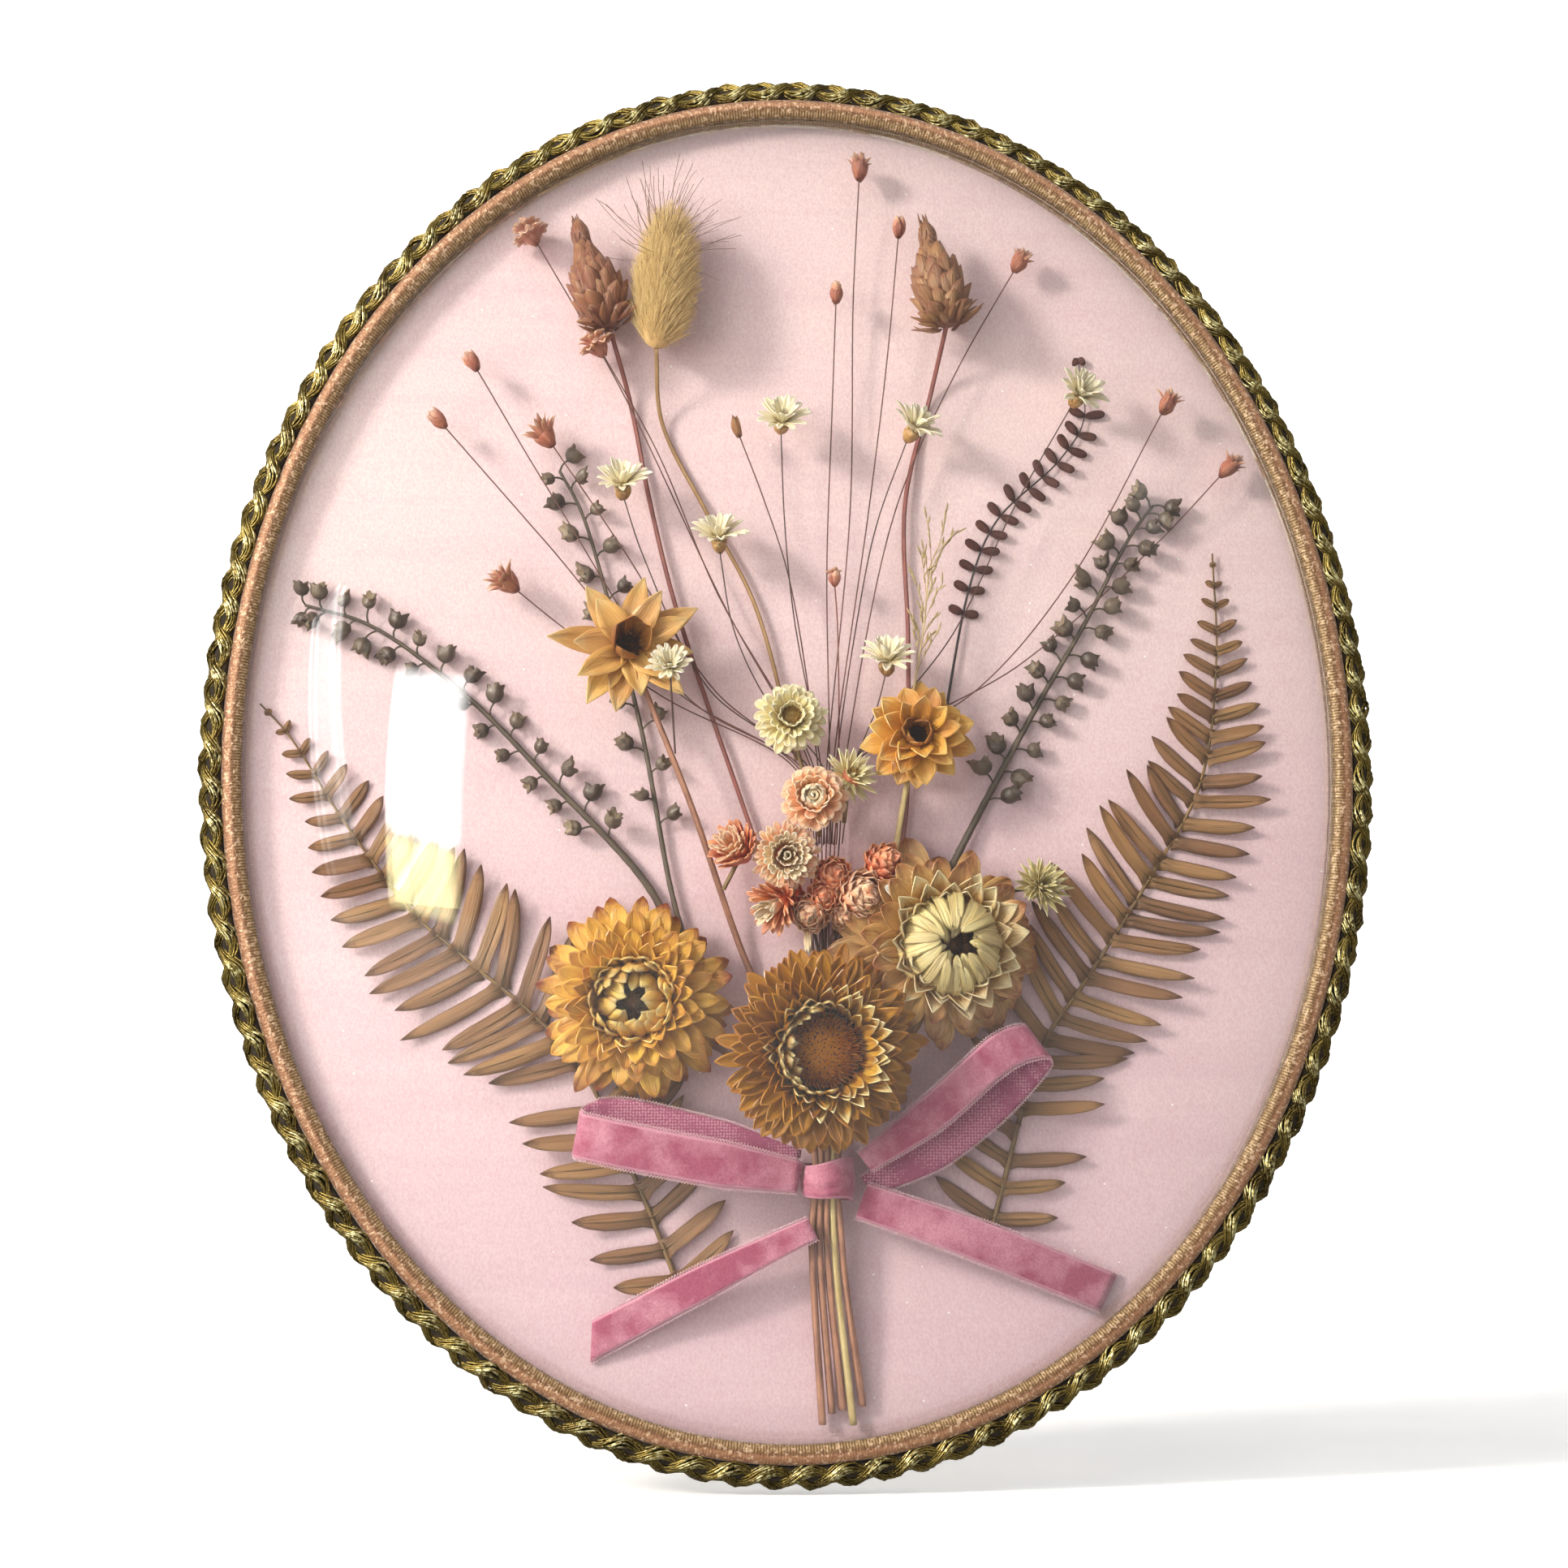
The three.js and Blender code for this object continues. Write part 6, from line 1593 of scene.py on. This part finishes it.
class FLOWERFRAME_OT_stalk_heads(PieceOperator, bpy.types.Operator):
    """Scaly buds and the bunny tail on their stalks"""

    bl_idname = "flowerframe.stalk_heads"
    bl_label = "Scaly buds and bunny tail"

    def make(self):
        red = stalky("bud_stalk_red", "#9E5A50", "#703834", 0.5)
        sides = {
            "left": ((-0.414, 0.815), 1.35, 1.22, 41,
                     ((-0.349, 0.652), (-0.309, 0.548), (-0.27, 0.391), (-0.219, 0.227), (-0.083, -0.096),
                      (-0.03, -0.22)),
                     papery("knapweed_scale_brown", "#70402C", "#965E44", "#B48464", 0.38, 14, 0.5,
                            margin="#7A4434")),
            "right": ((0.235, 0.84), 1.63, 1.31, 47,
                      ((0.282, 0.665), (0.258, 0.577), (0.208, 0.402), (0.213, 0.177), (0.205, -0.1),
                       (0.17, -0.22)),
                      papery("knapweed_scale_buff", "#865434", "#A87A56", "#A46A4C", 0.38, 14, 0.45,
                             margin="#8E5A42")),
        }
        for side, (tip, base_lift, tip_lift, seed, way, scale_finish) in sides.items():
            rng = np.random.default_rng(seed)
            heap = Heap()
            radius, length = 4.9, 20.0
            base = at(way[0], base_lift * radius)
            axis = unit(at(tip, tip_lift * radius) - base)
            place = frame_at(base, axis, VIEWER)
            shares = ((0, 0.3), (0.05, 0.6), (0.16, 0.88), (0.3, 1.0), (0.45, 0.95), (0.62, 0.68),
                      (0.8, 0.36), (1.0, 0.06))
            profile = [(h * length, r * radius * 0.88) for h, r in shares]
            turned(heap, place, [(r, h) for h, r in profile], 12, 0.3, 0)
            scaly(heap, place, profile[:-1], 96, 5.0, 3.7, 2, rng, 0, 0.16, "shield")
            skirt = 22 if side == "right" else 12
            for i in range(skirt):
                spot = place @ spoke(i * GOLDEN_TURN, radius * 0.45, rng.uniform(-0.4, 0.8))
                petal(heap, spot, rng.uniform(3.5, 5.5), 1.5, (rng.uniform(-10, 40), rng.uniform(20, 60)),
                      "blade", 0.5, rng.normal(0, 0.15), (5, 2), 0.14, rng.uniform())
            for i in range(14):
                spot = place @ spoke(i * GOLDEN_TURN, radius * 0.16, length * rng.uniform(0.82, 0.95))
                petal(heap, spot, rng.uniform(2.2, 3.8), 0.8, (84, 98), "blade", 0.5, rng.normal(0, 0.05),
                      (4, 2), 0.12, rng.uniform(0, 0.6))
            run = [base + axis * 0.8] + [at(p, 1.1) for p in way[1:]]
            tube(heap, smooth_line(run, 70), np.linspace(0.42, 0.4, 71), 6, 0.4, 1, ridges=0.15)
            finished(f"scaly_bud_{side}_dried", heap, [scale_finish, red],
                     [f"scaly_bud_{side}"])
        self.bunny_tail()

    def bunny_tail(self):
        radius, length = 6.2, 26.0
        way = ((-0.264, 0.615), (-0.25, 0.52), (-0.165, 0.38), (-0.075, 0.24), (0.005, 0))
        base = at(way[0], 1.23 * radius)
        axis = unit(at((-0.24, 0.83), 1.06 * radius) - base)
        place = frame_at(base, axis, VIEWER)
        shares = ((0.0, 0.12), (0.03, 0.4), (0.12, 0.66), (0.3, 0.8), (0.5, 0.82), (0.7, 0.68), (0.86, 0.46),
                  (0.95, 0.22), (0.98, 0.05))
        core_finish = stalky("grass_head_core", "#E8C48C", "#C89C5C", 0.9)
        fluff = stalky("hare_tail_hair", "#FBE6AC", "#EBC684", 0.5, 700)
        awn = stalky("hare_tail_awn", "#94704A", "#6E4E30", 0.6, 700)
        heap = Heap()
        profile = [(r * radius * 0.74, 0.6 + h * length * 0.94) for h, r in shares]
        turned(heap, place, profile, 16, 0.5, 0)
        run = [base + axis * 0.5] + [at(p, 1.1) for p in way[1:]]
        tube(heap, smooth_line(run, 70), 0.38, 6, 0.5, 1, ridges=0.15)
        stalk = stalky("grass_stalk_dried", "#B99260", "#8A6640", 0.5)
        finished("bunny_tail_core", heap, [core_finish, stalk])
        # hairs grow on copies of the head's skin: short ones all over, long ones near its tip
        # each kind: name, part of the profile, hairs, length, thickness, lean to the tip, spread, seed
        for name, low, hairs, long, thick, lean, spread, seed, finish_ in (
            ("bunny_tail_fluff", 0, sizes().hairs, sizes().hair, 0.00004, 1.7, 0.45, 5, fluff),
            ("bunny_tail_long_hairs", 5, 110, 0.0125, 0.000055, 1.1, 0.9, 9, awn),
        ):
            skin = Heap()
            turned(skin, place, profile[low:], 24)
            mesh = bpy.data.meshes.new("grass_skin")
            points = np.concatenate(skin.points) * MM
            mesh.from_pydata(points.tolist(), [], [list(map(int, f)) for block in skin.faces for f in block])
            mesh.update()
            area = sum(p.area for p in mesh.polygons)
            part = grown(name, hair_tree(finish_), mesh, {
                "Hairs": hairs / area, "Length": long, "Thickness": thick, "Lean": tuple(axis * lean),
                "Spread": spread, "Seed": seed,
            }, finish_)
            dressed(part, ["bunny_tail"] if low == 0 else [])


class FLOWERFRAME_OT_sprays(PieceOperator, bpy.types.Operator):
    """Seed sprays: crinkled pods on short feet along a stalk"""

    bl_idname = "flowerframe.seed_sprays"
    bl_label = "Seed sprays"

    def make(self):
        pod = papery("seed_pod_leathery", "#4C4038", "#6E6054", "#8F7F68", 0.4, 9, 0.6, (0.65, 1.3),
                     tip_from=0.6)
        stalk = stalky("seed_stalk_dried", "#6E5E4C", "#43382E", 0.62)
        sprays = {
            "left": (12, 27, 1.2, ((-0.9, 0.225), (-0.782, 0.196), (-0.603, 0.09), (-0.457, -0.029),
                                   (-0.27, -0.19), (-0.2, -0.3))),
            "middle": (9, 19, 1.15, ((-0.44, 0.44), (-0.4, 0.38), (-0.35, 0.25), (-0.282, 0.04),
                                     (-0.225, -0.2), (-0.19, -0.3))),
            "right": (15, 29, 1.25, ((0.678, 0.404), (0.636, 0.358), (0.545, 0.217), (0.45, 0.083),
                                     (0.31, -0.13), (0.25, -0.23))),
        }
        for side, (seed, pods, grow, way) in sprays.items():
            rng = np.random.default_rng(seed)
            heap = Heap()
            line = smooth_line([at(p, 1.3) for p in way], 90)
            n = len(line)
            root = 0.5 if side == "middle" else 0.72
            radius = np.linspace(0.28, root, n) * (1 + 0.05 * np.sin(np.arange(n) * 1.9))
            tube(heap, line, radius, 7, 0.4, 1, ridges=0.12)
            for i in range(pods):
                share = 0.74 * (i / (pods - 1)) ** 1.2
                spot = line[int(share * (n - 1))]
                tangent = unit(line[min(int(share * (n - 1)) + 1, n - 1)] - spot)
                turn = (1 if i % 2 else -1) * rng.uniform(0.6, 1.5)
                across = np.cross(tangent, VIEWER)
                up = VIEWER * (0.25 + 0.35 * rng.uniform()) * abs(math.cos(turn))
                out = unit(across * math.sin(turn) + up - tangent * 0.45)
                reach = rng.uniform(1.6, 3.0)
                cup = spot + out * reach
                bend = spot + out * reach * 0.5 - tangent * 0.3
                tube(heap, smooth_line([spot, bend, cup], 5), 0.19, 5, 0.5, 1)
                self.pod(heap, frame_at(cup, unit(out + tangent * rng.normal(0, 0.3))),
                         grow * rng.uniform(0.82, 1.15), rng)
            finished(f"seed_spray_{side}_dried", heap, [pod, stalk], [f"seed_spray_{side}"])

    def pod(self, heap, place, grow, rng):
        """An irregular five-cornered cup with a frilled mouth."""
        form = ((0.25, -0.1), (0.85, 0.25), (1.2, 0.85), (1.22, 1.35), (1.0, 1.75), (1.16, 2.15), (0.8, 2.05),
                (0.55, 1.6), (0.2, 1.5))
        tone, lean = rng.uniform(), rng.normal(0, 0.14, 2)
        turn = np.arange(15) * 2 * np.pi / 15
        corner = np.cos(5 * turn + tone * 6) + 0.5 * np.cos(2 * turn + tone * 17)
        rings = []
        for i, (r, h) in enumerate(form):
            frill = 1 + (0.08 + 0.15 * (i in (4, 5, 6))) * corner
            mouth = (0.26 if i in (5, 6) else 0) * corner
            lift = h * (1 + lean[0] * np.cos(turn) + lean[1] * np.sin(turn)) + mouth
            ring = np.stack([r * frill * np.cos(turn), r * frill * np.sin(turn), lift], -1)
            rings.append(moved(place, ring * grow))
        loops(heap, rings, tone, 0)


class FLOWERFRAME_OT_ferns(PieceOperator, bpy.types.Operator):
    """The pressed ferns"""

    bl_idname = "flowerframe.ferns"
    bl_label = "Ferns"

    def make(self):
        brown = papery("pressed_fern_brown", "#8A6440", colours("fern"), "#5A2E1A", 0.36, 22, 0.8,
                       (0.72, 1.22), margin="#7A5230", sheen=0.1, tip_from=0.82)
        dark = papery("pressed_fern_dark", "#3A1F1E", "#55302C", "#472522", 0.55, 12, 0.4)
        rib = stalky("fern_rib_dried", "#94733F", "#5A4024", 0.55)
        black = stalky("fern_rib_dark", "#3E2A2A", "#241818", 0.5)
        reach = sizes().leaflet / MM
        left = ((-0.2, -0.79), (-0.299, -0.601), (-0.406, -0.441), (-0.608, -0.296), (-0.689, -0.24),
                (-0.824, -0.097), (-0.921, 0.025), (-0.975, 0.075))
        right = ((0.36, -0.7), (0.46, -0.424), (0.533, -0.336), (0.657, -0.178), (0.759, -0.028),
                 (0.794, 0.162), (0.79, 0.331))
        small = ((0.27, 0.02), (0.332, 0.282), (0.382, 0.378), (0.502, 0.475), (0.549, 0.54), (0.538, 0.638))
        self.fern("left", left, 27, reach, 3.2, [brown, rib], "brown_fern", 61)
        self.fern("right", right, 31, reach * 0.95, 2.8, [brown, rib], "brown_fern", 67)
        self.fern("dark", small, 16, 3.6, 1.75, [dark, black], "dark_fern", 71)

    def fern(self, side, way, leaflets, reach, wide, finishes, slot, seed):
        rng = np.random.default_rng(seed)
        heap = Heap()
        line = smooth_line([at(p, 0.75) for p in way], 240)
        n = len(line)
        dark = side == "dark"
        bare = 0.3 if dark else 0.0
        tube(heap, line[::3], np.linspace(0.52, 0.16, len(line[::3])) * (0.55 if dark else 1), 6, 0.5, 1)
        for i in range(leaflets):
            along = i / (leaflets - 1)
            share = bare + (1 - bare) * (0.02 + 0.965 * along**0.93)
            index = min(int(share * (n - 1)), n - 2)
            spot = line[index]
            tangent = unit(line[index + 1] - line[index])
            if dark:
                grown_to = reach * (0.8 + 0.2 * math.sin(math.pi * along)) * (1 if along < 0.85 else 0.45)
            else:
                full = 0.85 if along < 0.35 else 1.15
                grown_to = reach * math.sin(math.pi * (0.24 + 0.74 * along)) ** full
            for hand in (-1, 1):
                out = np.cross(tangent, VIEWER) * hand
                lean = rng.normal(0.24, 0.05) + 0.16 * along
                way_out = unit(out + tangent * lean)
                if rng.uniform() < 0.03 and not dark:
                    continue
                place = frame_at(spot + VIEWER * rng.uniform(0.0, 0.25),
                                 VIEWER + way_out * rng.normal(0, 0.05), way_out)
                length = grown_to * (1 + rng.normal(0, 0.06))
                if dark:
                    petal(heap, place, length, wide, (2, rng.uniform(0, 14)), "oval", -0.3, 0.02 * hand,
                          (6, 2), 0.16, rng.uniform())
                    continue
                width = min(wide, 0.9 + length * 0.2) * rng.uniform(0.9, 1.06)
                petal(heap, place, length, width, (rng.uniform(0, 8), rng.uniform(-4, 9)), "leaflet",
                      rng.choice((-0.4, 0.35)), -hand * rng.uniform(0.05, 0.13), (12, 4), 0.15,
                      rng.uniform(), ripple=0.07)
                vein = np.linspace(0, 0.92, 7)
                bend = vein**2 * length * 0.09
                mid = np.stack([-hand * bend, vein * length, 0.16 + vein * length * 0.05], -1)
                tube(heap, moved(place, mid), np.linspace(0.15, 0.05, 7), 4, 0.4, 1)
        finished(f"fern_{side}_pressed", heap, finishes, [f"fern_{side}"])


class FLOWERFRAME_OT_wisp(PieceOperator, bpy.types.Operator):
    """The wisp of fine grass"""

    bl_idname = "flowerframe.grass_wisp"
    bl_label = "Grass wisp"

    def make(self):
        straw = stalky("fine_grass_dried", "#E2CFA0", "#B89A66", 0.55)
        rng = np.random.default_rng(83)
        heap = Heap()
        way = ((0.272, 0.337), (0.248, 0.294), (0.234, 0.197), (0.212, 0.085))
        line = smooth_line([at(p, 7.0) for p in way], 40)
        tube(heap, line, np.linspace(0.12, 0.24, 41), 5)
        for i in range(16):
            start = line[3 + i * 2]
            tangent = unit(line[2 + i * 2] - line[3 + i * 2])
            lean = rng.uniform(0.15, 0.5) * (1 if i % 2 else -1)
            out = unit(tangent + np.cross(tangent, VIEWER) * lean + VIEWER * rng.normal(0, 0.12))
            end = start + out * rng.uniform(4, 9)
            twig = smooth_line([start, (start + end) / 2 + tangent * 0.5, end], 6)
            tube(heap, twig, 0.07, 4)
            for spot in twig[2:]:
                ear = frame_at(spot, VIEWER, unit(out + rng.normal(0, 0.25, 3)))
                petal(heap, ear, rng.uniform(1.4, 2.4), 0.42, (4, 10), "blade", 0.5, 0, (3, 1), 0.12,
                      rng.uniform())
        finished("grass_wisp_dried", heap, [straw], ["grass_wisp"])


class FLOWERFRAME_OT_bow(PieceOperator, bpy.types.Operator):
    """The velvet bow, its selvedges and its knot"""

    bl_idname = "flowerframe.bow"
    bl_label = "Velvet bow"

    # each point: place, height as a share of the knot's depth, share of the ribbon's width
    straps = {
        "loop_left": (64, (((0.006, -0.622), 0.8, 0.7), ((-0.16, -0.6), 1, 1), ((-0.36, -0.568), 0.94, 1),
                           ((-0.392, -0.56), 0.78, 1), ((-0.35, -0.541), 0.64, 1), ((-0.15, -0.57), 0.62, 1),
                           ((0.006, -0.605), 0.56, 0.7))),
        "loop_right": (64, (((0.122, -0.6), 0.8, 0.5), ((0.24, -0.53), 0.98, 0.8),
                            ((0.385, -0.432), 0.96, 0.82), ((0.44, -0.425), 0.8, 0.95),
                            ((0.405, -0.468), 0.62, 1), ((0.255, -0.578), 0.56, 0.9),
                            ((0.13, -0.635), 0.5, 0.5))),
        "tail_left": (34, (((0.03, -0.695), 0.72, 0.5), ((-0.12, -0.755), 0.52, 0.75),
                           ((-0.36, -0.858), 0.1, 0.8))),
        "tail_right": (34, (((0.118, -0.655), 0.64, 0.8), ((0.32, -0.71), 0.54, 0.9),
                            ((0.57, -0.788), 0.11, 0.9))),
    }

    def make(self):
        velvet = velvet_pile()
        thread = grained("selvedge_thread", "#E6B8C4", "#C98AA0", "#F8DEE4", 2500, 0.5, 0.00003,
                         Sheen_Weight=0.3)
        width, deep = sizes().ribbon_width / MM, 10.0
        edges, outs = [], []
        rng = np.random.default_rng(90)
        for name, (steps, points) in self.straps.items():
            line = smooth_line([at(p, h * deep) for p, h, w in points], steps)
            run = at(points[2][0], points[2][1] * deep) - line[0]
            across = unit((-run[2], 0, run[0]))
            wide = np.interp(np.linspace(0, 1, steps + 1), np.linspace(0, 1, len(points)),
                             [w for p, h, w in points]) * width
            tangent = np.gradient(line, axis=0)
            normal = np.cross(across, tangent)
            normal /= np.linalg.norm(normal, axis=1, keepdims=True)
            u = np.linspace(-0.5, 0.5, 9)
            t = np.linspace(0, 1, steps + 1)[:, None]
            wave = 0.16 * np.sin(t * 13 + rng.uniform(0, 6)) * u + 0.1 * np.sin(t * 21) * (u**2 - 0.1) * 4
            grid = line[:, None] + across * (u[None, :, None] * wide[:, None, None])
            grid = grid + normal[:, None] * wave[..., None]
            if "tail" in name:
                # the end is cut on a slant
                slant = np.clip((t - 0.85) / 0.15, 0, 1) * u[None, :] * (3.4 if name == "tail_left" else 1.0)
                grid = grid + unit(run) * slant[..., None]
            grid = grid[:, ::-1]
            heap = Heap()
            sheet(heap, grid, 0.45, 0.5)
            finished(f"bow_{name}_velvet", heap, [velvet], [f"bow_{name}"])
            for column, hand in ((0, 1), (-1, -1)):
                edges.append(grid[:, column])
                outs.append(np.broadcast_to(across * hand, (steps + 1, 3)))
        picot = grown("bow_picot_selvedge", picot_tree(thread), line_mesh("selvedge_lines", edges, out=outs),
                      {"Pitch": sizes().picot_pitch, "Reach": 0.0005, "Thread radius": 0.0001}, thread)
        dressed(picot)
        self.knot(velvet, width, deep)

    def knot(self, velvet, width, deep):
        """The ribbon's own turn round the stems, crowned and creased where it is pulled tight."""
        middle = at((0.058, -0.625), 0.6 + deep / 2)
        lean = math.radians(28)
        rows, cols = 64, 17
        turn = np.arange(rows)[:, None] * 2 * np.pi / rows
        u = np.linspace(-0.5, 0.5, cols)[None, :]
        # creases run round the knot and drift across it
        crown = 0.6 * (1 - (2 * u) ** 2) + 0.2 * np.sin(u * 19 + 1.6 * np.sin(turn) + 0.8)
        crown = crown + 0.1 * np.sin(u * 37 + turn)
        front = np.clip(np.sin(turn), -0.2, 1)
        x = (4.2 + crown * 0.5) * np.cos(turn)
        y = -(deep / 2 - 0.5 + crown * front) * np.sin(turn)
        z = u * width * (0.82 + 0.14 * np.cos(turn)) + math.tan(lean) * x * 0.32 * np.clip(np.sin(turn), 0, 1)
        grid = middle + np.stack([x, y, z], -1)
        heap = Heap()
        sheet(heap, grid, 0.5, 0.5, closed=True)
        finished("bow_knot_velvet", heap, [velvet], ["bow_knot"])


OPERATORS = (
    FLOWERFRAME_OT_stage, FLOWERFRAME_OT_back, FLOWERFRAME_OT_satin, FLOWERFRAME_OT_glass,
    FLOWERFRAME_OT_braid, FLOWERFRAME_OT_band, FLOWERFRAME_OT_wires, FLOWERFRAME_OT_daisies,
    FLOWERFRAME_OT_stalk_heads, FLOWERFRAME_OT_sprays, FLOWERFRAME_OT_ferns, FLOWERFRAME_OT_strawflowers,
    FLOWERFRAME_OT_everlastings, FLOWERFRAME_OT_wisp, FLOWERFRAME_OT_bow,
)


class FLOWERFRAME_PT_sidebar(bpy.types.Panel):
    """Lists the pieces of the flower frame with their sizes and colours"""

    bl_idname = "FLOWERFRAME_PT_sidebar"
    bl_label = "Flower Frame"
    bl_space_type = "VIEW_3D"
    bl_region_type = "UI"
    bl_category = "Flower Frame"

    def draw(self, context):
        for group in (context.scene.flower_frame_sizes, context.scene.flower_frame_colours):
            column = self.layout.column()
            for name in group.bl_rna.properties.keys():
                if name not in ("rna_type", "name"):
                    column.prop(group, name)
        for operator in OPERATORS:
            self.layout.operator(operator.bl_idname)


CLASSES = (FlowerFrameSizes, FlowerFrameColours, *OPERATORS, FLOWERFRAME_PT_sidebar)


def register():
    for cls in CLASSES:
        bpy.utils.register_class(cls)
    bpy.types.Scene.flower_frame_sizes = bpy.props.PointerProperty(type=FlowerFrameSizes)
    bpy.types.Scene.flower_frame_colours = bpy.props.PointerProperty(type=FlowerFrameColours)


def unregister():
    del bpy.types.Scene.flower_frame_sizes
    del bpy.types.Scene.flower_frame_colours
    for cls in reversed(CLASSES):
        bpy.utils.unregister_class(cls)


def main():
    register()
    for operator in OPERATORS:
        group, name = operator.bl_idname.split(".")
        getattr(getattr(bpy.ops, group), name)()


if __name__ == "__main__":
    main()
